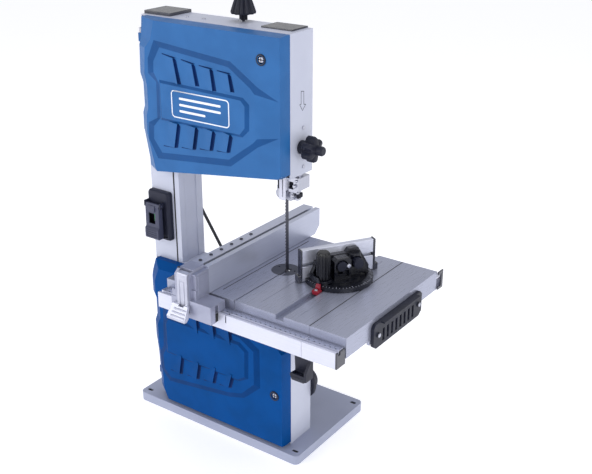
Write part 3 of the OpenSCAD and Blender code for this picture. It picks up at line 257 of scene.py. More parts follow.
def surface(name, colour, shade, rough, plan):
    # a slow tint, a finer change of gloss and a grain in relief, each at its own size in millimetres
    material = bpy.data.materials.new(name)
    material.use_nodes = True
    tree = material.node_tree
    tree.nodes.clear()
    shader = addNode(tree, "ShaderNodeBsdfPrincipled", inputs={"Metallic": plan.get("metallic", 0.0)})
    addNode(tree, "ShaderNodeOutputMaterial", inputs={"Surface": shader.outputs["BSDF"]})
    place3d = addNode(tree, "ShaderNodeTexCoord").outputs["Object"]
    drawn = place3d
    if plan.get("along"):
        stretch = [1 / materialPlan["lineDraw"] if axis in plan["along"] else 1 for axis in "xyz"]
        drawn = addNode(tree, "ShaderNodeMapping", inputs={"Vector": place3d,
                                                           "Scale": stretch}).outputs["Vector"]
    noises = {}
    for part, vector in (("cloud", place3d), ("gloss", place3d), ("grain", drawn)):
        sizeMm = plan.get(part + "Mm")
        if sizeMm:
            noises[part] = addNode(tree, "ShaderNodeTexNoise", inputs={
                "Vector": vector, "Scale": 1000 / sizeMm,
                "Detail": plan.get(part + "Detail", 2.0)}).outputs["Fac"]
    tintFactor = noises["cloud"]
    if plan.get("along"):
        lineShare = materialPlan["lineShare"]
        slow = addNode(tree, "ShaderNodeMath", {"operation": "MULTIPLY"},
                       {0: noises["cloud"], 1: 1 - lineShare})
        tintFactor = addNode(tree, "ShaderNodeMath", {"operation": "MULTIPLY_ADD"}, {
            0: noises["grain"], 1: lineShare, 2: slow.outputs[0]}).outputs[0]
    tint = addNode(tree, "ShaderNodeValToRGB", inputs={"Fac": tintFactor})
    ends = zip(tint.color_ramp.elements, plan.get("cloudSpread", materialPlan["cloudSpread"]),
               (shade, colour))
    for element, position, end in ends:
        element.position = position
        element.color = hexColour(end)
    tree.links.new(tint.outputs["Color"], shader.inputs["Base Color"])
    glossStart, glossEnd = materialPlan["glossSpread"]
    gloss = addNode(tree, "ShaderNodeMapRange", inputs={
        "Value": noises.get("gloss", noises["grain"]), "From Min": glossStart, "From Max": glossEnd,
        "To Min": rough + plan["roughSpread"][0], "To Max": rough + plan["roughSpread"][1]})
    tree.links.new(gloss.outputs["Result"], shader.inputs["Roughness"])
    relief = addNode(tree, "ShaderNodeBump", inputs={
        "Height": noises["grain"], "Distance": plan["reliefMm"] * mm, "Strength": 1.0})
    if plan.get("edgeMm"):        # rounds the light on a hard corner
        edge = addNode(tree, "ShaderNodeBevel", {"samples": 4}, {"Radius": plan["edgeMm"] * mm})
        tree.links.new(edge.outputs["Normal"], relief.inputs["Normal"])
    tree.links.new(relief.outputs["Normal"], shader.inputs["Normal"])
    for socket, value in plan.get("sockets", {}).items():
        shader.inputs[socket].default_value = value
    return material


def powderCoat(name, colour, shade, rough=0.42):
    # powder-coated steel: even satin skin with a fine orange peel about 1.5 mm across
    return surface(name, colour, shade, rough, {
        "cloudMm": 90, "glossMm": 14, "grainMm": 1.5, "reliefMm": 0.035, "edgeMm": 1.2,
        "roughSpread": (-0.05, 0.06), "sockets": {"IOR": 1.5, "Coat Weight": 0.15}})


def mouldedPlastic(name, colour, shade, rough, grainMm, grainHeight, edgeMm=0.6, shine=0.5):
    # injection-moulded plastic: spark-eroded grain, slight cloudiness in its gloss
    return surface(name, colour, shade, rough, {
        "cloudMm": 45, "cloudSpread": (0.35, 0.65), "glossMm": 9, "grainMm": grainMm,
        "reliefMm": grainHeight, "edgeMm": edgeMm, "roughSpread": (-0.05, 0.07),
        "sockets": {"IOR": 1.53, "Specular IOR Level": shine}})


def worked(name, colour, shade, rough, lineMm, along, lineHeight, metallic=1.0, edgeMm=0.5):
    # metal whose tool or die lines run along one axis
    return surface(name, colour, shade, rough, {
        "cloudMm": 70, "grainMm": lineMm, "grainDetail": 3, "along": along, "reliefMm": lineHeight,
        "edgeMm": edgeMm, "metallic": metallic, "roughSpread": (-0.06, 0.08)})


def castMetal(name, colour, shade, rough, metallic):
    # die-cast metal: pebbled skin about 1 mm across, darker in its pits
    return surface(name, colour, shade, rough, {
        "cloudMm": 30, "cloudDetail": 3, "grainMm": 1.1, "grainDetail": 3, "reliefMm": 0.05, "edgeMm": 0.9,
        "metallic": metallic, "roughSpread": (-0.08, 0.08)})


finishPlan = {
    # folded sheet steel, powder coated: satin grey with a fine orange peel
    "greyPowderCoat": (powderCoat, "#C2C6D6", "#BABECF"),
    # same coat on the base, a shade darker all over
    "basePowderCoat": (powderCoat, "#A2A8BE", "#999FB6"),
    # thin guard sheet, powder coated: paler and a little glossier
    "whitePowderCoat": (powderCoat, "#DEDFEC", "#D4D5E4", 0.38),
    # ABS moulding with a spark-eroded grain: soft, even blue, the lit copy of the door blue, paler with the
    # light that falls on the upper door
    "blueAbsUpper": (mouldedPlastic, "#2965A2", "#255F9A", 0.38, 0.7, 0.012, 0, 0.2),
    # the same ABS moulding as the upper door, painted darker as its shaded copy: painted shade for the
    # table's shadow on the lower door
    "blueAbsLower": (mouldedPlastic, "#00488C", "#004382", 0.42, 0.7, 0.012, 0, 0.05),
    # the sloped bands of the same moulding, polished finer, and painted a darker blue for the shade they
    # show
    "blueAbsUpperBand": (mouldedPlastic, "#1B4F89", "#184A81", 0.4, 0.7, 0.006, 0, 0.1),
    # the sloped bands of the lower moulding, polished finer, and painted the darkest blue: painted shade on
    # top of the shaded copy
    "blueAbsLowerBand": (mouldedPlastic, "#003A76", "#00366D", 0.42, 0.7, 0.006, 0, 0.05),
    # painted shade inside the vents: a dull dark blue ABS sheet where nearly no light reaches
    "louvreShadow": (mouldedPlastic, "#0A2A60", "#082350", 0.5, 0.7, 0.012, 0.6, 0.1),
    # glass-filled nylon, moulded: dull bluish black with a coarse grain
    "blackNylon": (mouldedPlastic, "#1B1E2F", "#161927", 0.46, 0.8, 0.03, 0.6, 0.3),
    # polypropylene caps, moulded smooth: their tops mirror the sky
    "capPolypropylene": (mouldedPlastic, "#262836", "#20222F", 0.2, 1.0, 0.01, 0.6, 0.9),
    # nylon gauge body, moulded: deep black with broad highlights
    "gaugeNylon": (mouldedPlastic, "#10121D", "#0D0F18", 0.26, 0.8, 0.015, 0.6, 0.5),
    # drawn steel, blackened: dark metal with faint draw lines; also the painted shade in the guide
    # bracket's window
    "blackOxide": (worked, "#33343D", "#26272E", 0.42, 0.5, "z", 0.006, 1.0),
    # nylon table insert, rubbed grey by the work
    "insertNylon": (mouldedPlastic, "#4B4E5B", "#444753", 0.5, 0.8, 0.03, 0.6, 0.3),
    # acetal pointer, moulded: strong dark red, smooth
    "redAcetal": (mouldedPlastic, "#96182C", "#881526", 0.3, 0.9, 0.01),
    # acetal button, moulded: smooth, clear green
    "greenAcetal": (mouldedPlastic, "#17914A", "#12833F", 0.3, 0.9, 0.01),
    # PVC sheath, extruded: half-matt black
    "pvcLead": (mouldedPlastic, "#1E1F24", "#18191D", 0.42, 1.2, 0.04),
    # rubber glands, moulded: matt black; the same matt black is the painted shade in the dark strips of
    # gaps, grooves and holes
    "mouldedRubber": (mouldedPlastic, "#1A1A1E", "#141417", 0.72, 0.9, 0.05),
    # rubber tyre, ground on its face: matt with a rough grain
    "groundTyreRubber": (mouldedPlastic, "#29292C", "#1F1F22", 0.8, 1.3, 0.09),
    # cast motor housing, enamelled: dark satin skin
    "motorEnamel": (powderCoat, "#3C3E47", "#33353E", 0.36),
    # cast aluminium, milled: fine feed lines along the table
    "milledAluminium": (worked, "#AAAEC0", "#A4A8BB", 0.3, 0.5, "y", 0.003, 0.55),
    # anodised extrusion: bright, die lines along the rail
    "extrudedAluminium": (worked, "#DADCEA", "#CFD1E0", 0.36, 0.8, "x", 0.012, 0.35),
    # fence extrusion, die lines along its length
    "fenceAluminium": (worked, "#C6CADA", "#B8BDCF", 0.34, 0.8, "y", 0.012, 0.6),
    # gauge fence, extruded and anodised: bright, with lines along it
    "gaugeAluminium": (worked, "#DADDE9", "#CDD0DF", 0.34, 0.8, "xy", 0.012, 0.6),
    # die-cast zinc: pebbled grey skin
    "dieCastZinc": (castMetal, "#A9ACBF", "#9B9EB2", 0.4, 0.5),
    # sand-cast iron wheel: rough, dull metal
    "sandCastIron": (castMetal, "#8A8C98", "#787A87", 0.55, 0.6),
    # zinc-plated steel: bright with a faint draw grain
    "zincPlate": (worked, "#C6C8D2", "#AEB0BC", 0.3, 0.5, "z", 0.008, 1.0),
    # die-cast lever, tumbled smoother than the head, and painted paler as the lit copy of the head's metal
    # where the lever faces the front light
    "dieCastLever": (castMetal, "#C3C5D3", "#B6B8C8", 0.36, 0.4),
    # ABS switch plate, moulded: dark blue-black
    "switchAbs": (mouldedPlastic, "#1F2235", "#1A1D2E", 0.5, 0.8, 0.03, 0.6, 0.3),
    # ABS flap, moulded: a shade lighter than its plate
    "flapAbs": (mouldedPlastic, "#44475D", "#3F4256", 0.45, 0.8, 0.03, 0.6, 0.3),
    # polished nylon: nearly black with a tight highlight; also the painted shade behind the switch flap
    "glossNylon": (mouldedPlastic, "#0A0B12", "#07080E", 0.16, 0.8, 0.01, 0.6, 0.4),
    # printed foil scale: flat silver grey
    "scaleFoil": (worked, "#A9ADC0", "#9DA1B5", 0.35, 0.5, "x", 0.003, 0.5, 0),
    # printed ink of the scales: dark and matt
    "scaleInk": (mouldedPlastic, "#343647", "#2C2E3E", 0.5, 0.3, 0.003, 0),
    # paint wiped into the gauge's marks: pale grey, matt
    "scalePaint": (mouldedPlastic, "#A9ABBA", "#9EA0B0", 0.5, 0.3, 0.003, 0),
    # screen-printed ink on the door: even white, half matt
    "printedWhite": (mouldedPlastic, "#EEF1F8", "#E4E8F2", 0.4, 0.4, 0.003, 0),
    # hardened blade steel: dark with a ground flank
    "hardenedSteel": (worked, "#5A5B64", "#45464E", 0.38, 0.6, "z", 0.006, 1.0),
}
finish = {name: maker(name, *values) for name, (maker, *values) in finishPlan.items()}
print("stage: materials made,", len(finish))

nodeFinish = {
    "greyPowderCoat": ["lower_box", "column", "upper_box"],
    "basePowderCoat": ["base_plate"],
    "whitePowderCoat": ["blade_guard"],
    "blueAbsUpper": ["upper_door"],
    "blueAbsLower": ["lower_door"],
    "capPolypropylene": ["column_cap", "corner_cap", "rail_end_caps", "gauge_end_caps"],
    "blackNylon": ["tension_knob", "motor_fan_cover", "terminal_box", "dust_port", "guide_knob",
                   "tilt_knob", "extension_handle", "lock_lever", "gauge_base", "gauge_knobs",
                   "gauge_handle", "switch_housing", "switch_flap"],
    "insertNylon": ["table_insert"],
    "redAcetal": ["gauge_pointer"],
    "greenAcetal": ["switch_buttons"],
    "pvcLead": ["motor_lead"],
    "mouldedRubber": ["cable_glands"],
    "groundTyreRubber": ["upper_tyre", "lower_tyre"],
    "motorEnamel": ["motor_housing"],
    "milledAluminium": ["table_main", "table_extension"],
    "extrudedAluminium": ["front_rail", "rail_extension", "rear_rail"],
    "fenceAluminium": ["fence_bar"],
    "gaugeAluminium": ["gauge_fence"],
    "dieCastZinc": ["fence_head", "fence_lever", "tilt_bracket", "tilt_segment"],
    "sandCastIron": ["upper_wheel", "lower_wheel"],
    "zincPlate": ["frame_screws", "hinge_leaves", "latch_brackets", "upper_door_lock", "lower_door_lock",
                  "wheel_carriage", "tension_spring", "motor_shaft", "guide_post", "guide_bracket",
                  "guide_rollers", "lower_guide", "extension_rods", "gauge_bar"],
    "hardenedSteel": ["blade"],
}


for finishName, names in nodeFinish.items():
    for name in names:
        dress(nodes[name], finish[finishName])
print("stage: CAD nodes dressed")


# Studio

studio = {
    "floor": "#F7F7FA",
    "floorShade": "#F3F3F7",
    "floorGlow": 0.42,
    "floorHalf": 30.0,                   # metres
    "sky": "#E9EBF4",
    "horizon": "#FFFFFF",
    "skyStrength": 0.68,
    "softboxes": [                       # place, target, size in metres, watts
        ((-1.6, -2.6, 1.5), (0, 0, 0.4), 1.8, 34),
        ((2.6, -1.2, 1.3), (0.1, 0, 0.4), 1.6, 22),
        ((0.2, 0.6, 2.6), (0.1, -0.1, 0.3), 1.6, 10),
    ],
}

floorMesh = bpy.data.meshes.new("floor")
half = studio["floorHalf"]
floorMesh.from_pydata(rect(-half, -half, half, half, 0), [], [(0, 1, 2, 3)])
floor = bpy.data.objects.new("floor", floorMesh)
bpy.context.scene.collection.objects.link(floor)
# matt paper with a faint fibre
paper = surface("studioPaper", studio["floor"], studio["floorShade"], 0.9, {
    "cloudMm": 3, "grainMm": 3, "reliefMm": 0.01, "roughSpread": (-0.02, 0.02),
    "sockets": {"Emission Color": (1, 1, 1, 1), "Emission Strength": studio["floorGlow"]}})
dress(floor, paper)

world = bpy.data.worlds.new("studio")
bpy.context.scene.world = world
world.use_nodes = True
worldTree = world.node_tree
worldTree.nodes.clear()
worldPlace = addNode(worldTree, "ShaderNodeTexCoord").outputs["Generated"]
worldHeight = addNode(worldTree, "ShaderNodeSeparateXYZ", inputs={"Vector": worldPlace}).outputs["Z"]
worldTint = addNode(worldTree, "ShaderNodeValToRGB", inputs={"Fac": worldHeight})
for element, position, end in zip(worldTint.color_ramp.elements, (0.0, 0.8), ("horizon", "sky")):
    element.position = position
    element.color = hexColour(studio[end])
# the backdrop itself stays paper white
seen = addNode(worldTree, "ShaderNodeLightPath").outputs["Is Camera Ray"]
glowStrength = addNode(worldTree, "ShaderNodeMapRange", inputs={
    "Value": seen, "To Min": studio["skyStrength"], "To Max": 1.0}).outputs["Result"]
worldGlow = addNode(worldTree, "ShaderNodeBackground", inputs={
    "Color": worldTint.outputs["Color"], "Strength": glowStrength})
addNode(worldTree, "ShaderNodeOutputWorld", inputs={"Surface": worldGlow.outputs["Background"]})

for index, (spot, target, size, watts) in enumerate(studio["softboxes"]):
    lightData = bpy.data.lights.new(f"softbox{index}", "AREA")
    lightData.energy = watts
    lightData.size = size
    light = bpy.data.objects.new(f"softbox{index}", lightData)
    light.location = spot
    light.rotation_euler = (Vector(target) - Vector(spot)).to_track_quat("-Z", "Y").to_euler()
    bpy.context.scene.collection.objects.link(light)
bpy.context.scene.view_settings.view_transform = "Standard"
print("stage: studio lit")


# Doors

def inset(points, amount):
    # the outline moved inwards by an amount, corner by corner
    count = len(points)
    area = sum(points[i][0] * points[(i + 1) % count][1] - points[(i + 1) % count][0] * points[i][1]
               for i in range(count))
    turn = 1 if area > 0 else -1
    moved = []
    for i in range(count):
        before, here, after = (Vector(points[(i + k) % count]) for k in (-1, 0, 1))
        a = (here - before).normalized()
        b = (after - here).normalized()
        normalA = Vector((-a.y, a.x)) * turn
        normalB = Vector((-b.y, b.x)) * turn
        along = normalA + normalB
        moved.append(tuple(here + along * (amount / max(0.35, along.length_squared / 2))))
    return moved


def louvre(quad, y, rise, slotTop):
    # a ramp that starts flush at its left edge, and thin dark sheets of painted shade for the slot under
    # its raised right edge, along its lip and down its right side
    topLeft, topRight, lowRight, lowLeft = quad
    points = facing(quad, y)
    points += [(topRight[0], y - rise, topRight[1]), (lowRight[0], y - rise, lowRight[1])]
    ramp = points, [(0, 3, 5, 4), (0, 4, 1), (3, 2, 5), (1, 4, 5, 2), (0, 1, 2, 3)]
    width = 5.2
    side = [topRight, (topRight[0] + width - 1, topRight[1] - 3 if slotTop else topRight[1] - 5),
            (lowRight[0] + width, lowRight[1]), lowRight]
    slot = loft([facing(side, y + 1), facing(side, y - 0.5)])
    edge = topRight if slotTop else lowRight
    start = topLeft if slotTop else lowLeft
    lift = 1.6 if slotTop else -1.6
    lip = [start, edge, (edge[0] + width - 1, edge[1] + lift / 4), (edge[0], edge[1] + lift),
           (start[0], start[1] + lift)]
    rim = loft([facing(lip, y + 1), facing(lip, y - 0.5)])
    shade = [(topRight[0] + 0.3, topRight[1]), (lowRight[0] + 0.3, lowRight[1])]
    wall = ([(shade[0][0] - 0.5, y, shade[0][1] - 0.4), (shade[0][0], y, shade[0][1] - 0.4),
             (shade[0][0], y - rise + 0.3, shade[0][1] - 0.4),
             (shade[0][0] - 0.5, y - rise + 0.3, shade[0][1] - 0.4),
             (shade[1][0] - 0.5, y, shade[1][1] + 0.4), (shade[1][0], y, shade[1][1] + 0.4),
             (shade[1][0], y - rise + 0.3, shade[1][1] + 0.4),
             (shade[1][0] - 0.5, y - rise + 0.3, shade[1][1] + 0.4)],
            [(0, 1, 2, 3), (4, 5, 6, 7), (0, 1, 5, 4), (1, 2, 6, 5), (2, 3, 7, 6), (3, 0, 4, 7)])
    return ramp, [slot, rim, wall]


upperDoorPlan = {
    "back": -86.8, "shoulder": -99.0, "face": -112.3,       # heights of the moulding along Y
    "plateau": -115.4, "panel": -118.2, "louvreRise": 4.2,
    "outline": [(-128, 510), (155.3, 547), (163.3, 553.5), (163.3, 784), (-144, 784), (-148, 748),
        (-153, 734), (-155, 684), (-149, 668), (-149, 626), (-154, 612), (-154, 584), (-143, 524),
        (-143, 515)],
    "faceOutline": [(-116, 511), (154.6, 549.4), (161.6, 555), (161.6, 782.4), (-104, 782.4), (-113, 750),
        (-128, 733), (-132, 688), (-128, 668), (-128, 626), (-133, 612), (-134, 580), (-121, 524),
        (-119, 516)],
    "bandOut": [(-105.6, 749.1), (61.8, 733.6), (118.2, 698), (159.5, 680.5), (159.5, 620.5),
        (116.3, 598.1), (57.7, 553.8), (-111, 536.2), (-130.4, 570.2), (-128.9, 600.3), (-107, 611.8),
        (-105, 677), (-123, 689.7), (-122, 716)],
    "bandIn": [(-90, 739), (59.9, 724.5), (104, 696), (113, 687), (117, 613), (108, 604), (56.2, 566.5),
        (-97, 550.5), (-115, 573), (-113, 597), (-97, 614), (-95, 674), (-107, 694), (-106, 713)],
    "panelOut": [(-95, 683), (90, 678.6), (103, 668.5), (102, 624.5), (87, 610.2), (-95, 610.7)],
    "panelIn": [(-91, 678), (86, 673.5), (94.5, 665), (93.5, 628), (83, 615.5), (-91, 616)],
    "topLouvres": [
        [(-84.8, 728.2), (-57.6, 724.8), (-49.1, 681.3), (-76, 686)],
        [(-41.9, 723.3), (-15.5, 720), (-8.6, 683.7), (-35, 687)],
        [(-2.4, 718.4), (23.4, 716.8), (28.3, 680.6), (2.5, 685)],
        [(36.3, 715.1), (61.5, 713.6), (66.8, 684.5), (41, 687)]],
    "lowLouvres": [
        [(-83, 612), (-54.5, 610.5), (-63.6, 566.8), (-92.3, 565)],
        [(-41, 612), (-13.5, 611), (-21.6, 570.9), (-49.4, 569.5)],
        [(-1, 613), (24.5, 611), (17, 576.2), (-7.8, 574.5)],
        [(37, 614), (61.5, 611), (54.6, 579.6), (30.4, 578)]],
    "lock": (125.1, 744), "hinges": (584, 744), "band": "blueAbsUpperBand",
}

lowerDoorPlan = {
    "back": -86.8, "shoulder": -99.0, "face": -112.3,
    "plateau": -115.4, "panel": -117.8, "louvreRise": 3.8,
    "outline": [(-140, 24), (163.3, 24), (163.3, 221), (123.3, 261), (-38, 261), (-38, 325.5),
        (-146, 325.5), (-155, 300), (-158, 286), (-158, 254), (-151, 240), (-151, 206), (-157, 190),
        (-157, 158), (-153, 122), (-150, 44)],
    "faceOutline": [(-122, 25.6), (161.6, 25.6), (161.6, 220), (122.6, 259.2), (-40, 259.2), (-40, 315),
        (-128, 312), (-134, 298), (-140, 284), (-140, 256), (-131, 240), (-131, 206), (-139, 190),
        (-139, 158), (-136, 122), (-131, 44)],
    "bandOut": [(-123, 221.7), (-123, 206), (-127, 146), (-136, 130), (-136, 93.2), (-116, 70), (40, 90),
        (74, 100), (112, 135), (112, 215), (72, 238), (-118, 246)],
    "bandIn": [(-112, 222), (-113, 206), (-116, 146), (-126, 128), (-125, 97), (-108, 82), (38, 101),
        (70, 110), (100, 140), (100, 209), (68, 228), (-108, 236)],
    "panelOut": [(-116, 204), (-116, 137), (-60, 134.5), (66, 134.2), (88, 147), (90, 205), (70, 219),
        (-108, 219)],
    "panelIn": [(-111, 202), (-111, 142), (-60, 139.5), (63, 139), (80, 150), (81, 203), (66, 213),
        (-105, 213)],
    "topLouvres": [
        [(-64, 252), (-34, 249), (-30, 207), (-56, 209)],
        [(-24, 251), (6, 250), (10.5, 208), (-16, 210)],
        [(15, 250), (43.5, 249.5), (48.5, 208), (23, 210)]],
    "lowLouvres": [
        [(-99, 144), (-74.5, 143), (-82, 101), (-107, 101)],
        [(-56, 144), (-31, 142.5), (-38.5, 104.5), (-64, 104)],
        [(-14, 146), (11, 145.5), (2.5, 110), (-22, 108)],
        [(26, 146), (50, 144.5), (41.5, 114), (17.5, 112)]],
    "lock": (145, 130.7), "hinges": (70, 260), "band": "blueAbsLowerBand",
}


hingePlan = {"axis": (-161.4, -84.4), "half": 7.6, "knuckle": 3.4, "pin": 1.9}


def door(name, plan, material):
    # hollow moulding with a stepped front, louvres, its lock's collar and its hinge knuckles
    face, back = plan["face"], plan["back"]
    skin = loft([facing(plan["outline"], back), facing(plan["outline"], plan["shoulder"]),
                 facing(plan["faceOutline"], face)])
    plateau = loft([facing(plan["bandOut"], face + 1.5), facing(plan["bandOut"], face),
                    facing(plan["bandIn"], plan["plateau"])])
    panel = loft([facing(plan["panelOut"], face + 1.0), facing(plan["panelOut"], plan["plateau"] + 0.3),
                  facing(plan["panelIn"], plan["panel"])])
    ramps, shades = [], []
    for rows, slotTop in ((plan["topLouvres"], True), (plan["lowLouvres"], False)):
        for quad in rows:
            ramp, dark = louvre(quad, plan["plateau"] + 0.1, plan["louvreRise"], slotTop)
            ramps.append(ramp)
            shades += dark
    hollow = loft([facing(inset(plan["outline"], 2.4), back + 1),
                   facing(inset(plan["outline"], 2.4), plan["shoulder"] + 0.8),
                   facing(inset(plan["faceOutline"], 4.0), face + 2.6)])
    x, z = plan["lock"]
    spin = alongY(x, z)
    collar = place(turned([(9.6, 111.6), (9.2, 113.9), (7.4, 113.9)]), spin)
    boss = rod(8.2, 88, 111, 48, spin)
    bore = rod(6.4, 80, 130, 48, spin)
    knuckles, pins = [], []
    hinge = shift(*hingePlan["axis"], 0)
    for height in plan["hinges"]:
        low, high = height - hingePlan["half"], height + hingePlan["half"]
        knuckles += [box((-164.8, -88.4, low), (-146, -86.8, high)),
                     box((-164.8, -88.4, low), (-160.4, -84.4, high)),
                     rod(hingePlan["knuckle"], low, high, 24, hinge)]
        pins.append(rod(hingePlan["pin"], height - 9, height + 9, 20, hinge))
    shell = joined(name, [skin, plateau, panel, *ramps], 0, cuts=[hollow])
    addOn = joined(name + "Collar", [shell, boss, collar, *knuckles], 0.8, cuts=[bore, *pins],
                   bevelAngle=14)
    dress(addOn, material)
    addOn.data.materials.append(finish[plan["band"]])
    # sloped faces in front of the door's face take the band finish: painted shade on the slopes
    for polygon in addOn.data.polygons:
        slope = -polygon.normal.y
        if 0.5 < slope < 0.984 and polygon.center.y < (face - 0.2) * mm:
            polygon.material_index = 1
    # the louvres' dark sheets are painted shade for the vents' openings
    slotShades = piece(name + "SlotShade", shades, 0, look="louvreShadow")
    return addOn, slotShades


# the upper door takes the lit copy of the blue, the lower door the painted-shade copy
for name, plan, paint in (("upper_door", upperDoorPlan, "blueAbsUpper"),
                          ("lower_door", lowerDoorPlan, "blueAbsLower")):
    side = name.split("_")[0]
    shell, slotShades = door(side + "Door", plan, finish[paint])
    for part in (shell, slotShades):
        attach(part, name)
    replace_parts(shell, name)
print("stage: doors moulded")


# Knobs

def lobed(profile, lobes, depth, sides=96):
    # rings of (radius, height, lobe share) about Z, pressed in between their lobes
    rings = []
    for radius, height, share in profile:
        ring = []
        for i in range(sides):
            turn = 2 * math.pi * i / sides
            dip = depth * share * (0.5 - 0.5 * math.cos(lobes * turn)) ** 1.5
            ring.append(((radius - dip) * math.cos(turn), (radius - dip) * math.sin(turn), height))
        rings.append(ring)
    return loft(rings)


tensionKnobPlan = {
    "axis": (32.4, -38), "fins": 12, "finDepth": 3.4,
    "profile": [(9.4, 796.2, 0), (13, 796.4, 0.2), (21.2, 797.6, 1), (21.8, 800.4, 1), (19.4, 808, 1),
        (16.6, 816, 1), (14.2, 822.5, 0.8), (12.2, 824.6, 0.3), (6, 824.8, 0)],
}
knobX, knobY = tensionKnobPlan["axis"]
tensionKnob = piece("tensionKnob", [
    place(lobed(tensionKnobPlan["profile"], tensionKnobPlan["fins"], tensionKnobPlan["finDepth"], 144),
          shift(knobX, knobY, 0)),
    rod(4.2, 786.6, 800, 32, shift(knobX, knobY, 0)),
    rod(2.5, 776.3, 788, 24, shift(knobX, knobY, 0))], 0.3, look="blackNylon")
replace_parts(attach(tensionKnob, "tension_knob"), "tension_knob")

springPlan = {"radius": 6.2, "wire": 1.0, "turns": 5, "low": 787.9, "high": 795.0}
springCurve = bpy.data.curves.new("tensionSpring", "CURVE")
springCurve.dimensions = "3D"
springCurve.bevel_depth = springPlan["wire"] * mm
springCurve.bevel_resolution = 3
springCurve.use_fill_caps = True
coil = springCurve.splines.new("POLY")
steps = springPlan["turns"] * 24
coil.points.add(steps)
for i in range(steps + 1):
    turn = 2 * math.pi * i / 24
    height = springPlan["low"] + (springPlan["high"] - springPlan["low"]) * i / steps
    coil.points[i].co = ((knobX + springPlan["radius"] * math.cos(turn)) * mm,
                         (knobY + springPlan["radius"] * math.sin(turn)) * mm, height * mm, 1)
tensionSpring = bpy.data.objects.new("tensionSpring", springCurve)
bpy.context.scene.collection.objects.link(tensionSpring)
tensionSpring.data.materials.append(finish["blackOxide"])
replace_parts(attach(tensionSpring, "frame"), "tension_spring")

guideKnobPlan = {
    "axis": (-56.2, 593.2), "lobes": 6, "lobeDepth": 7.5,
    "profile": [(11.8, 163.7, 0), (11.8, 174, 0), (19, 175.3, 0.9), (22.3, 178, 1), (22.5, 190, 1),
        (20.5, 194.2, 1), (14, 195.6, 0.6), (8.2, 196.2, 0), (8.2, 206.5, 0), (6.8, 209, 0)],
}
guideKnobSeat = alongX(*guideKnobPlan["axis"])
guideKnob = piece("guideKnob", [
    place(lobed(guideKnobPlan["profile"], guideKnobPlan["lobes"], guideKnobPlan["lobeDepth"], 144),
          guideKnobSeat),
    rod(6.4, 138, 165, 32, guideKnobSeat)], 0.4, look="blackNylon")
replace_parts(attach(guideKnob, "guide_knob"), "guide_knob")
print("stage: knobs made")


# Door locks

lockPlan = {"head": 5.6, "slot": 1.5}
for lockName, plan in (("upper_door_lock", upperDoorPlan), ("lower_door_lock", lowerDoorPlan)):
    x, z = plan["lock"]
    seat = alongY(x, z)
    head, halfSlot = lockPlan["head"], lockPlan["slot"] / 2
    lock = joined(lockName.split("_")[0] + "Lock", [
        place(turned([(3.9, 80.5), (3.9, 106), (head, 108.2), (head, 111.4), (head - 1, 112.4),
                      (2.4, 112.6)]), seat),
        box((x - 3, -83.1, z - 3.2), (x + 13.4, -80.9, z + 3.2))],
        0.25, cuts=[box((x - halfSlot, -114, z - 7), (x + halfSlot, -110.8, z + 7)),
                    box((x - 7, -114, z - halfSlot), (x + 7, -111.2, z + halfSlot))], look="zincPlate")
    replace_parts(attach(lock, lockName), lockName)
    ring = piece(lockName.split("_")[0] + "LockRing", [
        place(turned([(9.5, 111.9), (9.5, 113.6), (8.9, 114.3), (6.9, 114.3), (6.5, 113.0), (6.5, 111.9)]),
              seat)], 0.2, look="blackNylon")
    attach(ring, lockName.replace("_lock", ""))
print("stage: locks made")


# Rip fence

fencePlan = {
    "headX": (26, 112), "headFront": -241.5, "headLow": 322, "top": 404.3, "leverX": (43, 65),
    "padX": (31, 72),
    "ridges": 3, "screwPitch": 28, "screws": 6,
}
front = fencePlan["headFront"]
hx0, hx1 = fencePlan["headX"]
fenceHead = joined("fenceHead", [
    # block in front of the rail, and its lip over the rail
    box((hx0, front, fencePlan["headLow"]), (hx1, -222.4, 354.6)),
    box((hx0, front, 338.0), (hx1, -203.6, 354.6)),
    # tower that the lever lies in
    loft([rect(36, front - 0.6, 66.5, -200, 354),
          [(36, front - 0.6, 398), (66.5, front - 0.6, 398), (66.5, -200, 404.2), (36, -200, 404.2)],
          rect(37, front + 7, 65.5, -200, 406)]),
    box((65, front + 7, 354), (75, -200, 401)),
    # framed side panel
    box((66.5, front + 14, 360), (75.8, -204, 396)),
    # rounded corner block with its stop
    box((26.4, front + 1.5, 330), (37, -218, 367)),
    box((28, -226, 366), (36.5, -214, 377))],
    0.9, cuts=[box((42.4, front - 3, 330), (65.6, front + 8.6, 410)),
               box((42.4, front, 388), (65.6, front + 12, 410)),
               box((104, front + 12.0, 300), (114, front + 20, 352)),
               box((68.2, front + 15.8, 361.5), (69.8, front + 17.4, 392)),
               box((66, front + 5, 372), (76.4, front + 8.6, 398))], segments=3, look="dieCastZinc")
screwHeads = []
for i in range(fencePlan["screws"]):
    screwHeads.append(place(turned([(3.2, 404.2), (3.2, 405.4), (2.4, 406.2), (0.8, 406.4)], 24),
                            shift(47, -188 + i * fencePlan["screwPitch"], 0)))
screwHeads.append(place(turned([(2.6, 0), (2.6, 1.4), (1.8, 2.0)], 24), shift(38, front + 9, 405.4)))
fenceScrews = piece("fenceScrews", screwHeads, 0.2, look="hardenedSteel")
for part in (fenceHead, fenceScrews):
    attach(part, "rip_fence")
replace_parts(fenceHead, "fence_head")

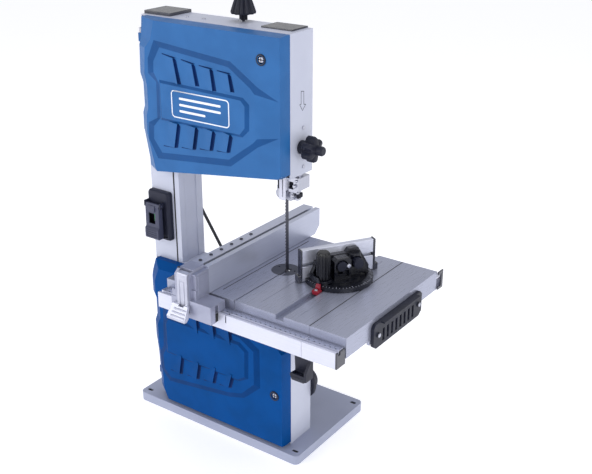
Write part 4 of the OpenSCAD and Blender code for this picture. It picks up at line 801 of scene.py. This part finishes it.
leverSide = [(-233.2, 402.6), (-243.0, 402.6), (-244.6, 400.5), (-245.6, 347), (-258.5, 328), (-258.5, 322),
             (-254, 321), (-244.5, 332), (-240, 341), (-233.4, 353)]
lx0, lx1 = fencePlan["leverX"]
wx0, wx1 = fencePlan["padX"]
leverParts = [loft([sideways(leverSide, lx0), sideways(leverSide, lx1)]),
              loft([rect(wx0 + 1, -261.2, wx1 - 1, -256, 321),
                    rect(wx0, -261.6, wx1, -252, 326),
                    rect(wx0 + 3, -248.6, wx1 - 4, -243.6, 346)])]
for i in range(fencePlan["ridges"]):
    z = 328.6 + i * 5.4
    y = -259.9 + i * 3.5
    wide = 15 - i * 1.2
    leverParts.append(box((54 - wide, y - 1.2, z - 1.1), (54 + wide, y + 3, z + 1.1)))
fenceLever = joined("fenceLever", leverParts, 0.6,
                    cuts=[box((48.2, -250, 334), (59.8, -244.2, 390)),
                          rod(3.05, 30, 80, 32, alongX(-237, 398.3))], segments=3)
island = piece("fenceLeverIsland", [box((49.8, -245.0, 336.5), (58.2, -243.9, 387.5))], 0.4)
leverPin = piece("fenceLeverPin", [rod(3, 41.9, 66.1, 32, alongX(-237, 398.3))], 0.3)
# the lever and its island take the lit copy of the head's metal
for part in (fenceLever, island):
    dress(part, finish["dieCastLever"])
    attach(part, "fence_lever")
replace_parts(fenceLever, "fence_lever")
dress(leverPin, finish["zincPlate"])
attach(leverPin, "rip_fence")
print("stage: rip fence made")


# Rail scale and lock lever

scalePlan = {"front": -211.8, "back": -199.2, "top": 337.6, "pitch": 2.0,
             "spans": {"table": (-24, 280), "extension": (282, 344)}}
for body, (start, end) in scalePlan["spans"].items():
    top = scalePlan["top"]
    strip = piece(body + "Scale", [box((start, scalePlan["front"], top),
                                       (end, scalePlan["back"], top + 0.25))], 0, look="scaleFoil")
    marks = []
    for i in range(int((end - start) / scalePlan["pitch"])):
        x = start + 1 + i * scalePlan["pitch"]
        reach = 7.5 if i % 5 == 0 else 4.0
        marks.append(box((x, scalePlan["back"] - 0.6 - reach, top + 0.2),
                         (x + 0.5, scalePlan["back"] - 0.6, top + 0.34)))
        if i % 5 == 2:
            marks.append(box((x - 0.9, scalePlan["front"] + 1.2, top + 0.2),
                             (x + 1.6, scalePlan["front"] + 3.4, top + 0.34)))
    ticks = piece(body + "ScaleTicks", marks, 0, look="scaleInk")
    for part in (strip, ticks):
        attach(part, body)

leverProfile = [(-212.0, 281.5), (-208.6, 281.5), (-206.8, 304), (-209.5, 308.4), (-213.5, 304)]
lockLever = joined("lockLever", [
    loft([sideways(leverProfile, 262.2), sideways(leverProfile, 293.2)]),
    loft([[(262.2, -208.6, 266), (289, -208.6, 266), (289, -213, 263), (262.2, -213, 263)],
          rect(262.2, -208, 290.5, -211.8, 285)]),
    loft([[(263, -211, 262.5), (288.6, -211, 262.5), (287, -224.6, 264.5), (264.6, -224.6, 264.5)],
          [(262.2, -211, 270), (289.6, -211, 270), (289.6, -226.4, 272.5), (262.2, -226.4, 272.5)],
          [(262.4, -211, 276), (289.4, -211, 276), (289.4, -226.2, 277.5), (262.4, -226.2, 277.5)]]),
    box((289, -226.2, 268.5), (293.6, -206.5, 306)),
    rod(4.4, 262.2, 293.6, 32, alongX(-209.5, 304))],
    0.7, cuts=[loft([rect(265, -223.4, 287, -213.5, 272),
                     rect(265, -223.4, 287, -213.5, 280)]),
               loft([[(288, -232, 278), (300, -232, 278), (300, -213, 300), (288, -213, 300)],
                     rect(288, -232, 300, -213, 320)]),
               *[box((264, -228, 266.0 + i * 2.8), (287.6, -225.5, 267.0 + i * 2.8)) for i in range(3)]],
    segments=3, look="blackNylon")
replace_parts(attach(lockLever, "lock_lever"), "lock_lever")
print("stage: rail scale and lock lever made")


# Switch

switchPlan = {"x": (-158, -106.4), "z": (368, 464), "face": -97.6, "flapX": (-154.4, -121.4)}
sx0, sx1 = switchPlan["x"]
sz0, sz1 = switchPlan["z"]
face = switchPlan["face"]


def rounded(x0, z0, x1, z1, r, steps=5):
    # outline of a rounded rectangle in (x, z)
    points = []
    for cx, cz, start in ((x1 - r, z1 - r, 0), (x0 + r, z1 - r, 90), (x0 + r, z0 + r, 180),
                          (x1 - r, z0 + r, 270)):
        for i in range(steps + 1):
            turn = math.radians(start + 90 * i / steps)
            points.append((cx + r * math.cos(turn), cz + r * math.sin(turn)))
    return points


switchHousing = joined("switchHousing", [
    loft([facing(rounded(sx0, sz0, sx1, sz1, 5), -86.4), facing(rounded(sx0, sz0, sx1, sz1, 5), -93.5),
          facing(rounded(sx0 + 2, sz0 + 2, sx1 - 4, sz1 - 2, 4), face)]),
    box((-157.6, -109, 434), (-154.9, face + 2, 445)), box((-119.9, -109, 434), (-117.0, face + 2, 445))],
    0.7, cuts=[box((-152.5, face - 5, 372), (-119.6, face + 3, 432)),
               box((-119.7, face - 5, 374), (-112.6, face + 2.4, 436)),
               rod(2.6, -160, -110, 24, alongX(-105.4, 439))], segments=3, look="switchAbs")
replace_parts(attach(switchHousing, "frame"), "switch_housing")
fx0, fx1 = switchPlan["flapX"]
flapSide = [(-99.2, 436), (-103.4, 441.4), (-107.4, 441.4), (-109.4, 436), (-110.2, 396), (-113.6, 392.5),
            (-113.8, 375.0), (-112, 372.6), (-99.2, 372.6)]
switchFlap = joined("switchFlap", [
    loft([sideways(flapSide, fx0), sideways(flapSide, fx1)]),
    loft([rect(-147, -111.2, -131, -107, 426),
          rect(-148, -112.4, -130, -107, 432),
          rect(-147, -110, -131, -107, 438)]),
    rod(2.5, -157.4, -117.2, 24, alongX(-105.4, 439))],
    0.6, cuts=[box((-152.4, -107.6, 375), (-123.6, -98, 436)),
               box((-147, -120, 402), (-131, -100, 423)),
               *[box((-150.6, -120, 377.0 + i * 4.2), (-125, -112.6, 379.2 + i * 4.2)) for i in range(4)]],
               segments=3, look="flapAbs")
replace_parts(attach(switchFlap, "switch_flap"), "switch_flap")
# a dark glossy sheet behind the flap's window: painted shade of the switch's inside
switchWellShade = piece("switchWellShade", [box((-152, -102.2, 376), (-124, -101.0, 433))], 0.3, look="glossNylon")
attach(switchWellShade, "frame")
startButton = piece("startButton", [loft([facing(rounded(-137.5, 405, -131.6, 421, 2), -102.0),
                                          facing(rounded(-137.5, 405, -131.6, 421, 2), -104.4)])], 0.5,
                                          look="greenAcetal")
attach(startButton, "frame")
print("stage: switch made")


# Gauge

gaugePlan = {"pivot": (220.4, -22), "angle": 58, "radius": 61, "low": 354.6, "handle": (-38, -19),
             "knobs": (-4, 28)}
gaugeSeat = shift(*gaugePlan["pivot"], 0) @ rotation("Z", gaugePlan["angle"])
discLow = gaugePlan["low"]


def sector(radius, start, end, z, steps=40):
    # points of an arc between two angles
    return [(radius * math.cos(math.radians(start + (end - start) * i / steps)),
             radius * math.sin(math.radians(start + (end - start) * i / steps)),
             z) for i in range(steps + 1)]


def halfDisc(radius, low, high, shelf=7):
    # the front half of a disc, with a shelf behind its middle
    outline = [(radius * math.cos(math.asin(shelf / radius)), shelf)]
    outline += [(x, y) for x, y, z in sector(radius, -0.01, -179.99, 0, 60)]
    outline += [(-radius * math.cos(math.asin(shelf / radius)), shelf)]
    return loft([level(outline, low), level(outline, high)])


def arcBar(inner, outer, start, end, low, high):
    # a bent bar between two radii
    ring = [(x, y) for x, y, z in sector(outer, start, end, 0) + sector(inner, end, start, 0)]
    return loft([level(ring, low), level(ring, high)])


def wall(points, y0, y1):
    # an (x, z) outline with a thickness along Y
    return loft([facing(points, y0), facing(points, y1)])


handleX, handleY = gaugePlan["handle"]
gaugeBase = joined("gaugeBase", [
    halfDisc(gaugePlan["radius"], discLow, discLow + 8),
    wall([(-52, discLow + 7), (-52, 372), (-47, 382), (-45, 394), (-22, 394), (-16, 402), (12, 402),
          (18, 409), (36, 409),
          (57, 372), (57, discLow + 7)], -3, 7),
    wall([(-18, discLow + 7), (-18, 396), (-12, 401), (10, 401), (14, 396), (14, discLow + 7)], -22, 2),
    loft([rect(14, -12, 54, 2, discLow + 7),
          [(14, -10, 398), (38, -8, 398), (38, 2, 398), (14, 2, 398)]]),
    place(turned([(13.2, 380), (12.4, 400), (11, 401.5)], 40), shift(28, -2, 0)),
    loft([sector(57, -178, -148, discLow + 7, 8) + sector(50, -148, -178, discLow + 7, 8),
          sector(57, -178, -152, discLow + 20, 8) + sector(50, -152, -178, discLow + 20, 8)]),
    rod(15, discLow + 7, discLow + 13.9, 48, shift(handleX, handleY, 0))],
    0.7, cuts=[
        arcBar(38, 49, -165, -12, discLow + 5.0, discLow + 9),
        box((-12, -30, 372), (-2, -12, 394)),
        box((2, -30, 366), (10, -16, 378)),
        *[rod(11.4, 3.2, 40, 40, alongY(x, 386.6)) for x in gaugePlan["knobs"]],
        rod(14.4, discLow + 14, 420, 48, shift(handleX, handleY, 0)),
        turned([(4.1, discLow - 1), (4.1, discLow + 12)], 32)], segments=2, look="gaugeNylon")
gripRings = [(11.6, discLow + 14.4, 0.4), (12.6, discLow + 16, 1), (12.6, discLow + 58, 1),
             (11.8, discLow + 61, 0.8), (9.5, discLow + 64.6, 0.2), (4, discLow + 65, 0)]
gaugeHandle = piece("gaugeHandle", [place(lobed(gripRings, 10, 2.0, 120), shift(handleX, handleY, 0)),
                                    rod(4, discLow + 1, discLow + 16, 32, shift(handleX, handleY, 0))], 0.3,
                                    look="glossNylon")
gaugeMarks = []
for i in range(31):
    turn = -176 + i * 5.73
    outer = 60.2
    inner = 54.5 if i % 5 == 0 else 57.2
    a, b = math.radians(turn - 0.35), math.radians(turn + 0.35)
    quad = [(r * math.cos(t), r * math.sin(t)) for r, t in ((inner, a), (outer, a), (outer, b), (inner, b))]
    gaugeMarks.append(loft([level(quad, discLow + 7.8), level(quad, discLow + 8.12)]))
gaugeTicks = piece("gaugeTicks", gaugeMarks, 0, look="scalePaint")
gaugeScrew = piece("gaugeScrew", [place(turned([(4.2, 21.8), (4.2, 24.2), (3.4, 25.4), (1.2, 25.8)], 32),
                                        alongY(8.5, 386))], 0.2, look="zincPlate")
for part, body in ((gaugeBase, "gauge_head"), (gaugeTicks, "gauge_head"), (gaugeScrew, "gauge_head"),
                   (gaugeHandle, "gauge_handle")):
    part.matrix_world = Matrix.Translation(gaugeSeat.to_translation() * mm) @ gaugeSeat.to_3x3().to_4x4()
    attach(part, body)
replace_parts(gaugeBase, "gauge_base")
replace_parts(gaugeHandle, "gauge_handle")

pointerPlan = {"x": 220.4, "front": -95.0}
px, py = pointerPlan["x"], pointerPlan["front"]
pointer = joined("gaugePointer", [
    box((px - 7, py, 354.1), (px + 7, -84.6, 357.6)),
    box((px - 6, py, 350.3), (px + 6, py + 6.6, 355)),
    wall([(px - 4.5, 356), (px - 4.5, 364), (px - 3.5, 367.5), (px + 3.5, 367.5), (px + 4.5, 364),
          (px + 4.5, 356)], -87.2, -84.0),
    loft([[(px - 4.2, -87, 363.2), (px + 4.2, -87, 363.2), (px + 1, -78.5, 363.2), (px - 1, -78.5, 363.2)],
          [(px - 4.2, -87, 364.8), (px + 4.2, -87, 364.8), (px + 0.8, -78.5, 364.2),
           (px - 0.8, -78.5, 364.2)]])],
    0.35, look="redAcetal")
screwProfile = [(3.0, 357.4), (3.0, 358.8), (2.2, 359.8), (0.7, 360.1)]
pointerScrew = piece("pointerScrew", [place(turned(screwProfile, 28), shift(px - 0.5, -91, 0))], 0.2,
                     look="zincPlate")
for part in (pointer, pointerScrew):
    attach(part, "gauge_bar")
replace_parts(pointer, "gauge_pointer")
print("stage: gauge made")


# Small marks and guide

def frameStrips(outer, inner, stand, low, high):
    # the strip between two outlines, one flat solid to a side
    strips = []
    for i in range(len(outer)):
        j = (i + 1) % len(outer)
        quad = [outer[i], outer[j], inner[j], inner[i]]
        strips.append(loft([stand(quad, low), stand(quad, high)]))
    return strips


arrowPlan = {
    "wall": 163.3, "line": 1.0,
    "outline": [(-56.6, 688.3), (-48.0, 686.5), (-47.9, 664.8), (-42.2, 663.5), (-52.2, 653.9),
                (-61.0, 666.4), (-56.5, 666.6)],
}
arrowIn = inset(arrowPlan["outline"], arrowPlan["line"])
arrowBits = frameStrips(arrowPlan["outline"], arrowIn, sideways, arrowPlan["wall"] - 0.05,
                        arrowPlan["wall"] + 0.15)
arrow = piece("bladeArrow", arrowBits, 0, look="scaleInk")
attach(arrow, "frame")

badgePlan = {
    "x": (-66, 62), "z": (622, 670), "face": -118.2, "line": 2.0,
    "bars": [(657, -48, 44), (646, -48, 44), (635, -48, 10)],     # height, start, end
}
bx0, bx1 = badgePlan["x"]
bz0, bz1 = badgePlan["z"]
line = badgePlan["line"]
deep, proud = badgePlan["face"] + 0.3, badgePlan["face"] - 0.25
badgeBits = frameStrips(rounded(bx0, bz0, bx1, bz1, 7),
                        rounded(bx0 + line, bz0 + line, bx1 - line, bz1 - line, 5), facing, deep, proud)
for z, start, end in badgePlan["bars"]:
    bar = rounded(start, z - 2, end, z + 2, 1.9)
    badgeBits.append(loft([facing(bar, deep), facing(bar, proud)]))
badge = piece("plainBadge", badgeBits, 0, look="printedWhite")
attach(badge, "upper_door")

guidePlan = {"height": 500, "bearings": {"left": 117.2, "right": 136.8}}
bearingProfile = [(3.1, 47.2), (9.1, 47.2), (9.5, 47.6), (9.5, 52.4), (9.1, 52.9), (7.6, 52.9), (7.4, 52.3),
                  (5.2, 52.3), (5.0, 52.9), (3.1, 52.9)]
bearingBits = [place(turned(bearingProfile), alongY(x, guidePlan["height"]))
               for x in guidePlan["bearings"].values()]
bearings = piece("guideBearings", bearingBits, 0, look="zincPlate")
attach(bearings, "blade_guide")
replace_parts(bearings, "guide_rollers")
guideBracket = joined("guideBracket", [
    box((128, -55.6, 508), (157.6, -51.4, 536)),
    box((131, -52, 510), (155, -18, 533)),
    box((127, -46.4, 491), (150, -36, 509)),
    box((103.6, -44, 494), (130, -38, 510))],
    0.6, cuts=[box((133, -60, 514), (147, -47, 527))], segments=3, look="zincPlate")
# a dark sheet at the back of the bracket's window and a dark strip under its front: painted shade
guideWindowShade = piece("guideWindowShade", [box((133.4, -48.6, 514.4), (146.6, -47.2, 526.6)),
                                    box((133.2, -54.9, 509.0), (151, -50, 510.6))], 0.1)
guideHolder = piece("guideHolder", [box((111.5, -53.4, 508), (127, -40, 531)),
                                    box((150.5, -52, 497), (155.5, -38, 506))], 1.6,
                    segments=3)
for part in (guideWindowShade, guideHolder):
    dress(part, finish["blackOxide"])
guideHeads = piece("guideHeads", [
    place(turned([(2.0, depth - 3), (r, depth - 3), (r, depth), (r - 1, depth + 1), (1.2, depth + 1)], 28),
          alongY(x, z))
    for x, z, r, depth in ((150.6, 521, 3.4, 58.5), (154, 530.5, 2.4, 57.5), (146, 502, 3.2, 57.5),
                           (156.4, 509.5, 2.4, 57))], 0.2, look="zincPlate")
for part in (guideBracket, guideWindowShade, guideHolder, guideHeads):
    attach(part, "blade_guide")
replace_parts(guideBracket, "guide_bracket")

guardPlan = {"x": (120.6, 134), "y": (-60.4, -43), "z": (492, 628), "sheet": 1.4, "slit": 127.6}
ax, bx = guardPlan["x"]
ay, by = guardPlan["y"]
az, bz = guardPlan["z"]
thin = guardPlan["sheet"]
bladeGuard = joined("bladeGuard", [
    box((ax, ay, az), (bx, ay + thin, bz)), box((bx - thin, ay, az + 18), (bx, by, bz)),
    box((ax, ay, az), (ax + thin, by, 536))], 0.3,
    cuts=[box((guardPlan["slit"] - 0.9, ay - 1, az + 6), (guardPlan["slit"] + 0.9, ay + 3, 560))],
    look="whitePowderCoat")
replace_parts(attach(bladeGuard, "blade_guide"), "blade_guard")

# thin dark strips of painted shade: in the column's slot, in pads under the base's holes, in the table's
# gap and groove, in the fence's top groove and beside its lever
shadeStripPlan = {
    "frame": [((-101.9, -86.8, 325.8), (-98.9, -84.6, 543.8)),
              *[((x - 9, y - 8, 15.6), (x + 9, y + 8, 16.7)) for x in (-183, 183) for y in (-100, 100)]],
    "table": [((278.4, -196.6, 354.1), (279.9, 102.6, 354.35)), ((83.3, -175, 354.05), (84.9, 83, 354.3))],
    "rip_fence": [((59.1, -199.6, 399.4), (64.9, 116, 400.6)), ((66.2, -231.4, 358), (66.7, -229.6, 396)),
                  ((112, -229.6, 323), (112.2, -222.6, 338))],
}
for body, strips in shadeStripPlan.items():
    shadeStrip = piece(body.replace("rip_", "") + "ShadeStrip", [box(low, high) for low, high in strips], 0,
                 look="mouldedRubber")
    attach(shadeStrip, body)

railProfile = [(103, 317.2), (123, 317.2), (123, 342), (103, 342), (103, 339), (120, 339), (120, 320.2),
               (103, 320.2)]
rearRail = piece("rearRail", [loft([sideways(railProfile, x) for x in (279.6, 349)]),
                              box((287.6, 103, 328.2), (309.6, 120.2, 340))], 0.5, look="extrudedAluminium")
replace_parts(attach(rearRail, "extension"), "rear_rail")

handleScrews = piece("handleScrews", [
    place(turned([(3.0, 356.8), (3.9, 356.8), (3.9, 358.2), (3.0, 358.9), (1.0, 358.9)], 28),
          alongX(y, 323.2))
    for y in (-110.1, 24.7)], 0.2, look="zincPlate")
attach(handleScrews, "extension")
print("stage: marks, guide and shadeStrips made")


# Edges of the carried-over parts

edgePlan = {"base_plate": 1.2, "column_cap": 0.8, "corner_cap": 0.6, "table_main": 0.8,
            "table_extension": 0.8, "front_rail": 0.5, "rail_extension": 0.5, "fence_bar": 0.7,
            "gauge_fence": 0.6, "gauge_end_caps": 0.8, "rail_end_caps": 1.0, "extension_handle": 1.2,
            "terminal_box": 1.5, "tilt_bracket": 0.8, "tilt_segment": 0.6, "tilt_knob": 0.8,
            "dust_port": 0.8, "gauge_bar": 0.5}
for name, width in edgePlan.items():
    node = nodes[name]
    weld = node.modifiers.new("weld", "WELD")
    weld.merge_threshold = 1e-6
    flat = node.modifiers.new("flat", "DECIMATE")
    flat.decimate_type = "DISSOLVE"
    flat.angle_limit = math.radians(0.5)
    roundEdges(node, width, 40, 2)
print("stage: edges eased")
